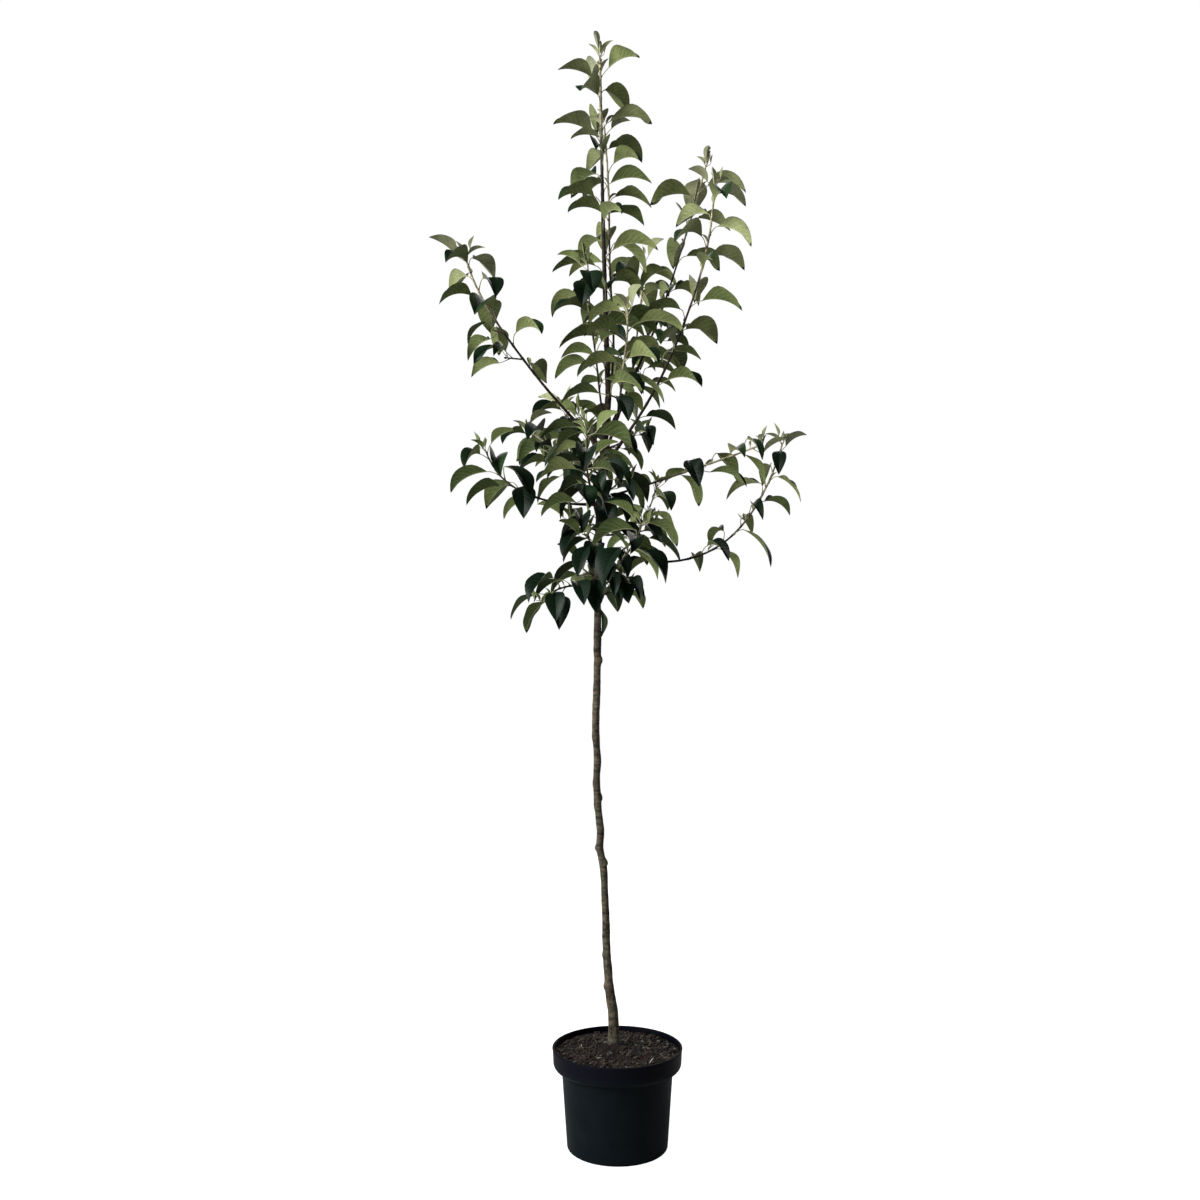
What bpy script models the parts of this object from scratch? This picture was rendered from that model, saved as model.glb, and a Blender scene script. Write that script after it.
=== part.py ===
"""Potted apple tree, a young half-standard in a round nursery pot.

Metres, +Z up, the viewer on the -Y side. The origin is the centre of the pot's flat
underside. The trunk runs from a flat cut on the compost to its fork. Boughs leave it on
quadratic Bezier lines, each given by a few named sizes, and carry leafy shoots, which
are one solid each: a stem, short spur twigs, and folded leaves set by a seeded rule.
"""
import math
import random
from collections import namedtuple

import bmesh
import bpy
import numpy as np
from mathutils.bvhtree import BVHTree

# Driving sizes, metres
CLEAR = 0.0003
POT_HEIGHT = 0.193
RIM_RADIUS = 0.1275
LIP_WIDTH = 0.0042
LIP_ROUND = 0.0012
LIP_HEIGHT = 0.003
COLLAR_FOOT_RADIUS = 0.1255
COLLAR_FOOT_HEIGHT = 0.164
BODY_TOP_RADIUS = 0.1088
BODY_TOP_HEIGHT = 0.150
BODY_FOOT_RADIUS = 0.0985
BODY_FOOT_ROUND = 0.004
WALL = 0.003
POT_SIDES = 36
SOIL_HEIGHT = 0.186
SOIL_FALL = 0.008
# Radius and fall of the compost's flat middle and of its shoulder, as shares
SOIL_SHAPE = ((0.40, 0.0), (0.72, 0.55), (1.0, 1.0))

FORK_HEIGHT = 1.474
FLARE = 0.0042
FLARE_HEIGHT = 0.012
TRUNK_STEP = 0.030
TRUNK_SIDES = 8
# Height, sideways place and depth of the trunk's centre where it changes direction
TRUNK_LINE = (
    (SOIL_HEIGHT, -0.0065, 0.022),
    (0.255, -0.0085, 0.020),
    (0.305, -0.0158, 0.018),
    (0.475, -0.0243, 0.013),
    (0.546, -0.0285, 0.011),
    (0.576, -0.0345, 0.010),
    (0.610, -0.0330, 0.009),
    (0.660, -0.0378, 0.007),
    (0.716, -0.0405, 0.006),
    (0.748, -0.0390, 0.005),
    (0.803, -0.0424, 0.003),
    (0.900, -0.0400, 0.000),
    (1.144, -0.0380, 0.000),
    (1.269, -0.0340, 0.000),
    (1.404, -0.0240, 0.000),
    (FORK_HEIGHT, -0.0170, 0.000),
)
# Height and radius along the trunk: a thick rootstock up to the graft, then a slow taper
TRUNK_TAPER = (
    (SOIL_HEIGHT, 0.0107),
    (0.270, 0.0103),
    (0.335, 0.0080),
    (0.450, 0.0073),
    (0.900, 0.0072),
    (FORK_HEIGHT, 0.0064),
)
# Height and size of the old bud knots that thicken the trunk
TRUNK_KNOTS = (
    (0.308, 0.0012),
    (0.559, 0.0014),
    (0.692, 0.0012),
    (0.796, 0.0009),
    (0.948, 0.0015),
    (1.014, 0.0012),
)
KNOT_LENGTH = 0.011

BOUGH_SIDES = 6
BOUGH_STEP = 0.045
STEM_SIDES = 4
STEM_STEP = 0.048
FOOT_SWELL = 0.35
FOOT_SWELL_LENGTH = 0.022
WANDER = 0.006

LEAF_LENGTH = 0.091
LEAF_WIDTH = 0.062
LEAF_THICK = 0.0026
LEAF_PLACES = (0.27, 0.66)
PETIOLE_LENGTH = 0.028
PETIOLE_RADIUS = 0.0011
LEAF_TURN = 144.0
LEAF_TRIES = (0, 22, -22, 44, -44, 70, -70, 100, -100)
STALK_LIFT = 0.22
STALK_SHORTEST = 0.55
BLADE_OUT = 0.9
BLADE_FORWARD = 0.45
# Steepness of a blade at its base and at its tip, in degrees: of the last leaf of a
# shoot, the one below it, a leaf that stands out, and one that hangs
TIP_LEAF = (74.0, 66.0)
NEXT_LEAF = (48.0, 4.0)
OUT_LEAF = (23.0, -38.0)
OUT_LEAF_SAG = (26.0, 36.0)
HANGING_LEAF = (-18.0, -74.0)
HANGING_FLATTER = 20.0
YOUNG_ROLLED = 20.0
HANGING_SHARE = 0.5
# Leaf sizes as shares: how much the tip leaf lacks, over how many leaves that fades,
# and the first leaf of a shoot with what each next one gains
TIP_LACK = 0.68
TIP_FADE = 1.3
FIRST_SIZE = 0.80
SIZE_GAIN = 0.08
TIP_CROWDING = 1.3
FIRST_GAP = 0.009
LEAF_ROOM = 0.0012
SPUR_LENGTH = 0.030
SPUR_RADIUS = 0.0017
SPUR_LEAVES = 3
SPUR_LEAF_GAP = 0.16
FLAT_ANGLE = 0.2
SPACE_RADIUS = 0.150
SPACE_SLACK = 0.045

# A limb leaves the trunk at a height, on a compass heading (0 is +X, 90 is +Y), and ends
# after a reach outwards and a rise. Its line bends at a share of the way, by a bow
# outwards and down and a swing to the left. It is bare up to a share of its length.
# Hang is how readily its leaves droop, and the seed sets their small differences.
Limb = namedtuple(
    "Limb",
    "name height heading reach rise bend bow swing foot tip bare leaves spurs hang seed",
)
LIMBS = (
    Limb("leader", FORK_HEIGHT, 180, 0.017, 0.692, 0.45, 0.004, 0, 0.0062, 0.0019, 0, 28, 1, 0.05, 561),
    Limb("second_leader", 1.409, 92, 0.048, 0.635, 0.3, 0.044, -0.032, 0.0042, 0.0016, 0.18, 19, 1, 0.15, 701),
    Limb("left_upper", 1.367, -166, 0.278, 0.368, 0.7, 0.05, -0.012, 0.0042, 0.0016, 0.32, 13, 2, 0.4, 632),
    Limb("right_rear", 1.387, 29, 0.246, 0.602, 0.47, 0.031, -0.012, 0.0042, 0.0016, 0.14, 17, 2, 0.25, 596),
    Limb("right_front", 1.329, -29, 0.246, 0.528, 0.55, 0.08, 0.045, 0.0044, 0.0016, 0.16, 18, 2, 0.3, 471),
    Limb("right_mid", 1.269, -17, 0.32, 0.092, 0.52, 0.006, 0.003, 0.0034, 0.0015, 0.4, 9, 0, 0.5, 564),
    Limb("right_low", 1.171, 12, 0.388, 0.222, 0.43, 0.232, -0.02, 0.004, 0.0016, 0.34, 14, 0, 0.55, 557),
    Limb("left_mid", 1.259, -160, 0.234, 0.095, 0.68, 0.085, -0.016, 0.0034, 0.0015, 0.36, 11, 0, 0.7, 706),
    Limb("left_inner", 1.289, 148, 0.178, 0.134, 0.5, -0.007, -0.004, 0.0032, 0.0014, 0.33, 9, 1, 0.45, 673),
    Limb("left_low", 1.09, -139, 0.138, -0.026, 0.57, -0.033, -0.004, 0.003, 0.0015, 0.25, 9, 0, 0.95, 451),
    Limb("inner_left", 1.412, -125, 0.061, 0.318, 0.5, 0.012, -0.005, 0.003, 0.0014, 0.2, 10, 0, 0.25, 716),
    Limb("front_upper", 1.349, -80, 0.255, 0.235, 0.55, 0.055, 0.015, 0.0036, 0.0015, 0.34, 11, 1, 0.45, 624),
    Limb("front_mid", 1.229, -94, 0.295, 0.125, 0.55, 0.04, -0.012, 0.0036, 0.0015, 0.34, 11, 1, 0.6, 823),
    Limb("front_low", 1.124, -70, 0.235, 0.075, 0.55, 0.045, 0.01, 0.0032, 0.0015, 0.34, 9, 0, 0.7, 642),
    Limb("back_upper", 1.345, 70, 0.265, 0.485, 0.6, 0.06, -0.02, 0.0042, 0.0016, 0.3, 14, 1, 0.3, 477),
    Limb("back_mid", 1.249, 104, 0.31, 0.265, 0.6, 0.06, 0.015, 0.004, 0.0016, 0.34, 13, 1, 0.4, 637),
    Limb("back_low", 1.144, 64, 0.3, 0.19, 0.55, 0.09, 0.01, 0.0038, 0.0016, 0.36, 12, 0, 0.55, 591),
    Limb("spur_right", 1.199, 2, 0.105, 0.012, 0.5, 0.012, 0, 0.0026, 0.0014, 0, 6, 0, 0.6, 715),
    Limb("spur_low_right", 1.076, 20, 0.05, 0.02, 0.5, 0.006, 0, 0.0024, 0.0014, 0, 5, 0, 0.8, 570),
    Limb("spur_low_front", 1.098, -30, 0.055, 0.018, 0.5, 0.006, 0, 0.0024, 0.0014, 0, 5, 0, 0.8, 724),
    Limb("spur_low_back", 1.114, 128, 0.05, 0.02, 0.5, 0.006, 0, 0.0024, 0.0014, 0, 5, 0, 0.8, 727),
    Limb("spur_mid_front", 1.167, -112, 0.06, 0.026, 0.5, 0.008, 0, 0.0024, 0.0014, 0, 5, 0, 0.7, 577),
    Limb("spur_mid_left", 1.206, -166, 0.055, 0.026, 0.5, 0.008, 0, 0.0024, 0.0014, 0, 5, 0, 0.6, 670),
    Limb("spur_high_front", 1.309, -112, 0.06, 0.03, 0.5, 0.008, 0, 0.0024, 0.0014, 0, 5, 0, 0.65, 560),
    Limb("spur_mid_rear", 1.319, 150, 0.06, 0.035, 0.5, 0.008, 0, 0.0024, 0.0014, 0, 5, 0, 0.45, 621),
    Limb("spur_front", 1.276, -46, 0.065, 0.03, 0.5, 0.008, 0, 0.0024, 0.0014, 0, 5, 0, 0.65, 497),
    Limb("spur_high_right", 1.368, 6, 0.07, 0.04, 0.5, 0.01, 0, 0.0024, 0.0014, 0, 6, 0, 0.55, 560),
    Limb("spur_high_left", 1.398, 165, 0.05, 0.04, 0.5, 0.008, 0, 0.0024, 0.0014, 0, 5, 0, 0.35, 542),
)

# One leaf: where its stalk leaves the stem, where its blade starts, the way the blade
# runs, its first and last steepness, its sideways curl, its roll and fold, its size as
# a share, and how many leaves are between it and the tip
Leaf = namedtuple("Leaf", "root base heading rise droop curl roll fold size from_tip")

UP = np.array((0.0, 0.0, 1.0))


def unit(vector):
    return vector / np.linalg.norm(vector)


def turned(degrees):
    """The level unit vector on a compass heading."""
    angle = math.radians(degrees)
    return np.array((math.cos(angle), math.sin(angle), 0.0))


def trunk_centre(heights):
    """Centre of the trunk at some heights: cubic pieces between the named places, whose
    slope at each place is that of the chord past it."""
    line = np.array(TRUNK_LINE)
    knots = line[:, 0]
    slopes = np.gradient(line[:, 1:], knots, axis=0)
    heights = np.clip(np.atleast_1d(heights), knots[0], knots[-1])
    at = np.clip(np.searchsorted(knots, heights, side="right") - 1, 0, len(knots) - 2)
    span = (knots[at + 1] - knots[at])[:, None]
    u = (heights - knots[at])[:, None] / span
    start, end = line[at, 1:], line[at + 1, 1:]
    flat = (
        start * (1 + 2 * u) * (1 - u) ** 2
        + slopes[at] * span * u * (1 - u) ** 2
        + end * u * u * (3 - 2 * u)
        + slopes[at + 1] * span * u * u * (u - 1)
    )
    return np.column_stack((flat, heights))


def trunk_radius(heights):
    """Radius of the trunk: the taper, the flare at the foot and the knots."""
    marks, sizes = np.array(TRUNK_TAPER).T
    radius = np.interp(heights, marks, sizes)
    radius = radius + FLARE * np.exp(-(heights - SOIL_HEIGHT) / FLARE_HEIGHT)
    for height, size in TRUNK_KNOTS:
        radius = radius + size * np.exp(-(((heights - height) / KNOT_LENGTH) ** 2))
    return radius


def limb_line(limb, t):
    """Points of a limb's centre at shares t of its way: a quadratic Bezier, with a slow
    sideways wander that is nil at both ends."""
    t = np.atleast_1d(np.asarray(t, float))[:, None]
    out = turned(limb.heading)
    side = np.cross(UP, out)
    foot = trunk_centre(limb.height)[0]
    chord = out * limb.reach + UP * limb.rise
    below = np.cross(side, unit(chord))
    bend = foot + chord * limb.bend + below * limb.bow + side * limb.swing
    line = foot * (1 - t) ** 2 + bend * 2 * t * (1 - t) + (foot + chord) * t * t
    phase = math.radians(limb.heading)
    swell = np.sin(math.pi * t) * np.sin(3 * math.pi * t + phase)
    return line + side * WANDER * float(np.linalg.norm(chord)) * swell


def limb_length(limb):
    line = limb_line(limb, np.linspace(0, 1, 33))
    return float(np.linalg.norm(np.diff(line, axis=0), axis=1).sum())


def limb_radius(limb, t):
    """Radius along a limb: an even taper, and a swelling where it leaves the trunk."""
    t = np.asarray(t, float)
    swell = FOOT_SWELL * np.exp(-((t * limb_length(limb) / FOOT_SWELL_LENGTH) ** 2))
    return (limb.foot + (limb.tip - limb.foot) * t) * (1 + swell * (limb.height < FORK_HEIGHT))


def limb_frames(limb, t):
    """Direction of a limb at shares t, and two normals that turn with it."""
    step = 0.004
    t = np.asarray(t, float)
    ahead = limb_line(limb, t + step) - limb_line(limb, t - step)
    along = ahead / np.linalg.norm(ahead, axis=1)[:, None]
    out = turned(limb.heading)
    side = np.cross(UP, out)
    first = side - along * (along @ side)[:, None]
    first = first / np.linalg.norm(first, axis=1)[:, None]
    return along, first, np.cross(along, first)


def blade_line(leaf, steps=24):
    """Midrib of a leaf: from its base, in even steps whose steepness goes from the rise
    to the droop while the heading curls round. Gives points, sides and normals."""
    middle = (np.arange(steps) + 0.5) / steps
    ends = np.linspace(0, 1, steps + 1)

    def direction(u):
        steep = np.radians(leaf.rise + (leaf.droop - leaf.rise) * u)
        way = np.radians(leaf.heading + leaf.curl * u * u)
        level = np.column_stack((np.cos(way), np.sin(way), np.zeros_like(u)))
        return level, np.cos(steep)[:, None], np.sin(steep)[:, None]

    level, flat, climb = direction(middle)
    stride = LEAF_LENGTH * leaf.size / steps
    way = np.cumsum(level * flat + UP * climb, axis=0)
    points = leaf.base + np.vstack((np.zeros(3), way)) * stride
    level, flat, climb = direction(ends)
    normal = UP * flat - level * climb
    side = np.cross(level * flat + UP * climb, normal)
    roll = math.radians(leaf.roll)
    return (
        points,
        side * math.cos(roll) + normal * math.sin(roll),
        normal * math.cos(roll) - side * math.sin(roll),
    )


def blade_half_width(u):
    """Half width of a leaf along its midrib, as a share of the full width: an egg shape
    that is widest before the middle and drawn out to a point."""
    shape = np.sin(math.pi * np.clip(u, 0, 1) ** 0.82) ** 0.78
    return 0.5 * shape * (1.0 - 0.10 * u)


def leaf_solid(leaf, room=0.0, lift=0.0):
    """A leaf as a closed solid: a three-sided stalk from the stem's axis to the blade,
    two folded cross-sections of four points, and the tip. Room thickens it and lift
    starts the stalk further out, for testing whether the leaf fits."""
    points, sides, normals = blade_line(leaf)
    steps = len(points) - 1
    way = unit(leaf.base - leaf.root)
    half_way = unit(way + unit(points[1] - points[0]))
    verts = []
    r = PETIOLE_RADIUS + room
    for centre, facing in ((leaf.root + way * lift, way), (leaf.base, half_way)):
        left = unit(sides[0] - facing * (sides[0] @ facing))
        top = np.cross(left, facing)
        verts += [centre - left * r + top * r / 2, centre + left * r + top * r / 2, centre - top * r]
    for place in LEAF_PLACES:
        at = round(place * steps)
        wide = LEAF_WIDTH * leaf.size * float(blade_half_width(place)) + room
        fold = math.radians(leaf.fold * (1 - 0.3 * place))
        out = sides[at] * math.cos(fold) * wide
        raised = normals[at] * math.sin(fold) * wide
        thick = normals[at] * (LEAF_THICK / 2 + room)
        mid = points[at]
        verts += [mid - out + raised, mid + out + raised, mid - thick, mid + thick]
    verts.append(points[-1] + (points[-1] - points[-2]) * room / (LEAF_LENGTH / steps))
    return np.array(verts), LEAF_FACES


def leaf_faces():
    """Triangles of a leaf: its root, the stalk's three sides, the stalk widening into
    the first fold, the blade between the folds, and the tip. The upper and the under
    side split alike, from the midrib back to the margin, so that they stay apart."""
    left, right, under, upper = 6, 7, 8, 9
    tip = 14
    faces = [(0, 1, 2)]
    for a, b in ((0, 2), (2, 1), (1, 0)):
        faces += [(a, b, b + 3), (a, b + 3, a + 3)]
    faces += [(3, 5, under), (3, under, left), (5, 4, under), (4, right, under)]
    faces += [(4, 3, upper), (3, left, upper), (4, upper, right)]
    faces += [(left, under, left + 4), (under, under + 4, left + 4)]
    faces += [(upper, left, left + 4), (upper, left + 4, upper + 4)]
    faces += [(under, right, right + 4), (under, right + 4, under + 4)]
    faces += [(right, upper, right + 4), (upper, upper + 4, right + 4)]
    for a, b in ((left, under), (under, right), (right, upper), (upper, left)):
        faces.append((a + 4, b + 4, tip))
    return faces


LEAF_FACES = leaf_faces()


def tube(points, frames, radii, sides):
    """A closed tube of rings along a line, its ends filled."""
    _, first, second = frames
    angles = np.linspace(0, 2 * math.pi, sides, endpoint=False)
    across = np.cos(angles)[None, :, None] * first[:, None]
    across = across + np.sin(angles)[None, :, None] * second[:, None]
    verts = (points[:, None] + across * np.asarray(radii)[:, None, None]).reshape(-1, 3)
    faces = [tuple(range(sides))[::-1]]
    for ring in range(len(points) - 1):
        for k in range(sides):
            a, b = ring * sides + k, ring * sides + (k + 1) % sides
            faces.append((a, b, b + sides, a + sides))
    last = (len(points) - 1) * sides
    faces.append(tuple(range(last, last + sides)))
    return verts, faces


def limb_stretch(limb, start, end, step, sides):
    """The tube of a limb between two shares of its way."""
    count = max(4, round((end - start) * limb_length(limb) / step) + 1)
    t = np.linspace(start, end, count)
    return tube(limb_line(limb, t), limb_frames(limb, t), limb_radius(limb, t), sides)


def trunk_shape(grow=0.0):
    """The trunk's tube. Grow thickens it, for cutting what stands against it."""
    low = SOIL_HEIGHT + CLEAR
    near = low + np.array((0.0, 0.006, 0.014, 0.026, 0.042))
    count = round((FORK_HEIGHT - near[-1]) / TRUNK_STEP)
    heights = np.concatenate((near[:-1], np.linspace(near[-1], FORK_HEIGHT, count)))
    centres = trunk_centre(heights)
    level = np.tile((1.0, 0.0, 0.0), (len(heights), 1))
    depth = np.tile((0.0, 1.0, 0.0), (len(heights), 1))
    return tube(centres, (None, level, depth), trunk_radius(heights) + grow, TRUNK_SIDES)


def stem_start(limb):
    """Where a leafy shoot's stem starts: clear of its bough's tip, or at the trunk."""
    return limb.bare + CLEAR / limb_length(limb) if limb.bare else 0.0


def leafy_start(limb):
    """Where its first leaf may stand: past the bough's tip, or out of the trunk."""
    if limb.height == FORK_HEIGHT:
        return FIRST_GAP / limb_length(limb)
    trunk = float(trunk_radius(np.array(limb.height)))
    return max(limb.bare + FIRST_GAP / limb_length(limb), (trunk + FIRST_GAP) / limb_length(limb))


def clear_of_stem(way, along, radius):
    """How far along its own way a stalk has to go before it is out of its stem."""
    slant = math.sqrt(max(0.05, 1.0 - float(way @ along) ** 2))
    return (radius + 0.002) / slant


def leaf_at(root, along, round_, size, from_tip, draw, hang, hanging, turn):
    """A leaf on a stem: the stalk leaves forwards, out and a little up. The blade runs
    outwards, arches over and droops the more the more its shoot lets hang. A hanging one
    points down from its stalk, and is flatter."""
    spread, lean, roll, curl, fold, drop, sag = draw
    radial = unit(round_ * math.cos(turn) + np.cross(along, round_) * math.sin(turn))
    way = unit(along * math.cos(spread) + radial * math.sin(spread) + UP * STALK_LIFT)
    level = radial * BLADE_OUT + along * BLADE_FORWARD
    heading = math.degrees(math.atan2(level[1], level[0])) + lean
    base = root + way * PETIOLE_LENGTH * (STALK_SHORTEST + (1 - STALK_SHORTEST) * size)
    if from_tip < 2:
        rise, droop = NEXT_LEAF if from_tip else TIP_LEAF
        fold += YOUNG_ROLLED
    elif hanging:
        rise, droop = HANGING_LEAF[0] + 14 * drop, HANGING_LEAF[1] + 10 * drop
        fold -= HANGING_FLATTER
    else:
        rise = OUT_LEAF[0] - OUT_LEAF_SAG[0] * hang + 10 * drop
        droop = OUT_LEAF[1] - OUT_LEAF_SAG[1] * hang + 12 * sag
    return Leaf(root, base, heading, rise, droop, curl, roll, fold, size, from_tip)


def drawn(rng):
    """The seeded part of one leaf: stalk spread, heading, roll, curl, fold, drop, sag."""
    return (
        math.radians(rng.uniform(40, 56)),
        rng.uniform(-18, 18),
        rng.uniform(-16, 16),
        rng.uniform(-30, 30),
        rng.uniform(42, 58),
        rng.uniform(-1, 1),
        rng.uniform(-1, 1),
    )


class Crowd:
    """What is already there: solids that a new twig or leaf must stay clear of."""

    def __init__(self):
        self.solids = []

    def add(self, verts, faces):
        centre = (verts.min(0) + verts.max(0)) / 2
        reach = float(np.linalg.norm(verts - centre, axis=1).max())
        tree = BVHTree.FromPolygons(verts.tolist(), faces)
        self.solids.append((centre, reach, tree))

    def meets(self, verts, faces):
        centre = (verts.min(0) + verts.max(0)) / 2
        reach = float(np.linalg.norm(verts - centre, axis=1).max())
        tree = BVHTree.FromPolygons(verts.tolist(), faces)
        for other, size, solid in self.solids:
            if np.linalg.norm(other - centre) < size + reach and tree.overlap(solid):
                return True
        return False


def within_space(limb, leaf):
    """Whether a leaf keeps to its shoot's own space: near its stem, and not further into
    another limb's place than the slack."""
    middle = blade_line(leaf)[0][14]
    own = np.linalg.norm(limb_line(limb, np.linspace(limb.bare, 1, 25)) - middle, axis=1).min()
    if own > SPACE_RADIUS:
        return False
    for other in LIMBS:
        if other is not limb:
            away = np.linalg.norm(limb_line(other, np.linspace(0.1, 1, 25)) - middle, axis=1).min()
            if away < own - SPACE_SLACK:
                return False
    return True


def fitted(limb, crowd, along, radius, make):
    """The first of a leaf's turns that keeps to its space and touches nothing."""
    for offset in LEAF_TRIES:
        leaf = make(math.radians(offset))
        lift = clear_of_stem(unit(leaf.base - leaf.root), along, radius)
        roomy = leaf_solid(leaf, room=LEAF_ROOM, lift=lift + LEAF_ROOM)
        if within_space(limb, leaf) and not crowd.meets(*roomy):
            crowd.add(*leaf_solid(leaf, lift=lift))
            return leaf
    return None


def grow_shoot(limb, crowd):
    """Spur twigs and leaves of one shoot. Leaves stand every 144 degrees round the stem,
    full size along the middle and small and upright at the tip. The lowest places with
    spurs carry a short twig with three leaves instead of one leaf."""
    rng = random.Random(limb.seed)
    count = limb.leaves
    begin = leafy_start(limb)
    even = (np.arange(count) + 0.1) / (count - 0.7)
    places = begin + (1 - begin) * (1 - (1 - even) ** TIP_CROWDING)
    roots = limb_line(limb, places)
    along, first, _ = limb_frames(limb, places)
    radii = limb_radius(limb, places)
    start = rng.uniform(0, 360)
    leaves = []
    twigs = []
    for k in range(count):
        draw = drawn(rng)
        turn = math.radians(start + LEAF_TURN * k + rng.uniform(-14, 14))
        from_tip = count - 1 - k
        size = min(1 - TIP_LACK * math.exp(-from_tip / TIP_FADE), FIRST_SIZE + SIZE_GAIN * k)
        size *= rng.uniform(0.88, 1.08)
        hanging = rng.random() < limb.hang * HANGING_SHARE
        spur = k % 2 == 1 and k // 2 < limb.spurs
        spur_draws = [(drawn(rng), rng.uniform(0.62, 0.9), rng.random()) for _ in range(SPUR_LEAVES)]
        if not spur:
            leaf = fitted(limb, crowd, along[k], radii[k], lambda offset: leaf_at(
                roots[k], along[k], first[k], size, from_tip, draw, limb.hang, hanging, turn + offset))
            if leaf:
                leaves.append(leaf)
            continue
        radial = first[k] * math.cos(turn) + np.cross(along[k], first[k]) * math.sin(turn)
        way = unit(along[k] * 0.55 + radial + UP * 0.25)
        end = roots[k] + way * (SPUR_LENGTH + radii[k])
        twig = (roots[k], end)
        lift = clear_of_stem(way, along[k], radii[k])
        clear = (roots[k] + way * (lift + LEAF_ROOM), end + way * LEAF_ROOM)
        if crowd.meets(*twig_solid(clear, LEAF_ROOM)):
            continue
        crowd.add(*twig_solid(clear))
        twigs.append(twig)
        flat = unit(np.cross(way, UP))
        for j, (spur_draw, share, chance) in enumerate(spur_draws):
            root = roots[k] + (end - roots[k]) * (0.94 - SPUR_LEAF_GAP * j)
            leaf = fitted(limb, crowd, way, SPUR_RADIUS, lambda offset: leaf_at(
                root, way, flat, share, count, spur_draw, limb.hang, chance < limb.hang * HANGING_SHARE,
                turn + offset + math.radians(LEAF_TURN * j)))
            if leaf:
                leaves.append(leaf)
    return leaves, twigs


def twig_solid(twig, room=0.0):
    """A spur twig: a four-sided tapering peg."""
    root, end = twig
    way = unit(end - root)
    first = unit(np.cross(way, UP + 0.3 * turned(35)))
    second = np.cross(way, first)
    frames = (None, np.array((first, first)), np.array((second, second)))
    return tube(np.array((root, end)), frames, (SPUR_RADIUS + room, SPUR_RADIUS * 0.8 + room), 4)


def grow_tree():
    """Every shoot's leaves and twigs. The limbs are all there before the first leaf."""
    crowd = Crowd()
    crowd.add(*trunk_shape())
    for limb in LIMBS:
        crowd.add(*limb_stretch(limb, 0.0, 1.0, BOUGH_STEP, BOUGH_SIDES))
    return {limb.name: grow_shoot(limb, crowd) for limb in LIMBS}


def material(name, colour, roughness):
    made = bpy.data.materials.new(name)
    made.use_nodes = True
    shader = made.node_tree.nodes["Principled BSDF"]
    shader.inputs["Base Color"].default_value = (*colour, 1.0)
    shader.inputs["Roughness"].default_value = roughness
    shader.inputs["Metallic"].default_value = 0.0
    made.diffuse_color = (*colour, 1.0)
    return made


def add_object(name, verts, faces, colour=None, roughness=0.7):
    """A mesh object whose faces all point out, shaded smooth across soft edges."""
    mesh = bpy.data.meshes.new(name)
    mesh.from_pydata(np.asarray(verts).tolist(), [], faces)
    shell = bmesh.new()
    shell.from_mesh(mesh)
    bmesh.ops.recalc_face_normals(shell, faces=shell.faces)
    shell.to_mesh(mesh)
    shell.free()
    mesh.shade_smooth()
    mesh.set_sharp_from_angle(angle=math.radians(40))
    thing = bpy.data.objects.new(name, mesh)
    bpy.context.scene.collection.objects.link(thing)
    if colour:
        mesh.materials.append(material(name + "_colour", colour, roughness))
    return thing


def turned_solid(name, profile, sides, colour, roughness):
    """A profile of radius and height pairs turned round the Z axis. The profile starts
    and ends on the axis, and each end is one point."""
    ring = profile[1:-1]
    angles = np.linspace(0, 2 * math.pi, sides, endpoint=False)
    verts = [(0.0, 0.0, profile[0][1])]
    verts += [(r * math.cos(a), r * math.sin(a), z) for r, z in ring for a in angles]
    verts.append((0.0, 0.0, profile[-1][1]))
    faces = []
    for k in range(sides):
        after = (k + 1) % sides
        faces.append((0, 1 + after, 1 + k))
        for j in range(len(ring) - 1):
            a, b = 1 + j * sides + k, 1 + j * sides + after
            faces.append((a, b, b + sides, a + sides))
        last = 1 + (len(ring) - 1) * sides
        faces.append((last + k, last + after, len(verts) - 1))
    return add_object(name, verts, faces, colour, roughness)


def arc(centre, radii, start, end, count):
    """Points on a stretch of an ellipse, angles in degrees from the level outwards."""
    angles = np.radians(np.linspace(start, end, count))
    return [(centre[0] + radii[0] * math.cos(a), centre[1] + radii[1] * math.sin(a)) for a in angles]


def inner_profile(inset):
    """The pot's inside from its floor to its mouth, moved in by an inset."""
    return [
        (BODY_FOOT_RADIUS - WALL - inset, WALL + inset),
        (BODY_TOP_RADIUS - WALL - inset, BODY_TOP_HEIGHT + inset),
        (COLLAR_FOOT_RADIUS - WALL - inset, COLLAR_FOOT_HEIGHT + inset),
    ]


def build_pot():
    foot = BODY_FOOT_ROUND
    step = COLLAR_FOOT_RADIUS - BODY_TOP_RADIUS
    outside = [(0.0, 0.0)]
    outside += arc((BODY_FOOT_RADIUS - foot, foot), (foot, foot), -90, 0, 3)
    drop = COLLAR_FOOT_HEIGHT - BODY_TOP_HEIGHT
    outside += arc((BODY_TOP_RADIUS, COLLAR_FOOT_HEIGHT), (step, drop), -90, 0, 5)
    outside.append((RIM_RADIUS - LIP_ROUND, POT_HEIGHT - LIP_HEIGHT - LIP_ROUND))
    outside.append((RIM_RADIUS, POT_HEIGHT - LIP_HEIGHT))
    outside += [(RIM_RADIUS, POT_HEIGHT - LIP_ROUND), (RIM_RADIUS - LIP_ROUND, POT_HEIGHT)]
    inside = [(RIM_RADIUS - LIP_WIDTH, POT_HEIGHT)] + inner_profile(0.0)[::-1] + [(0.0, WALL)]
    turned_solid("pot", outside + inside, POT_SIDES, (0.009, 0.011, 0.012), 0.45)


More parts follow.
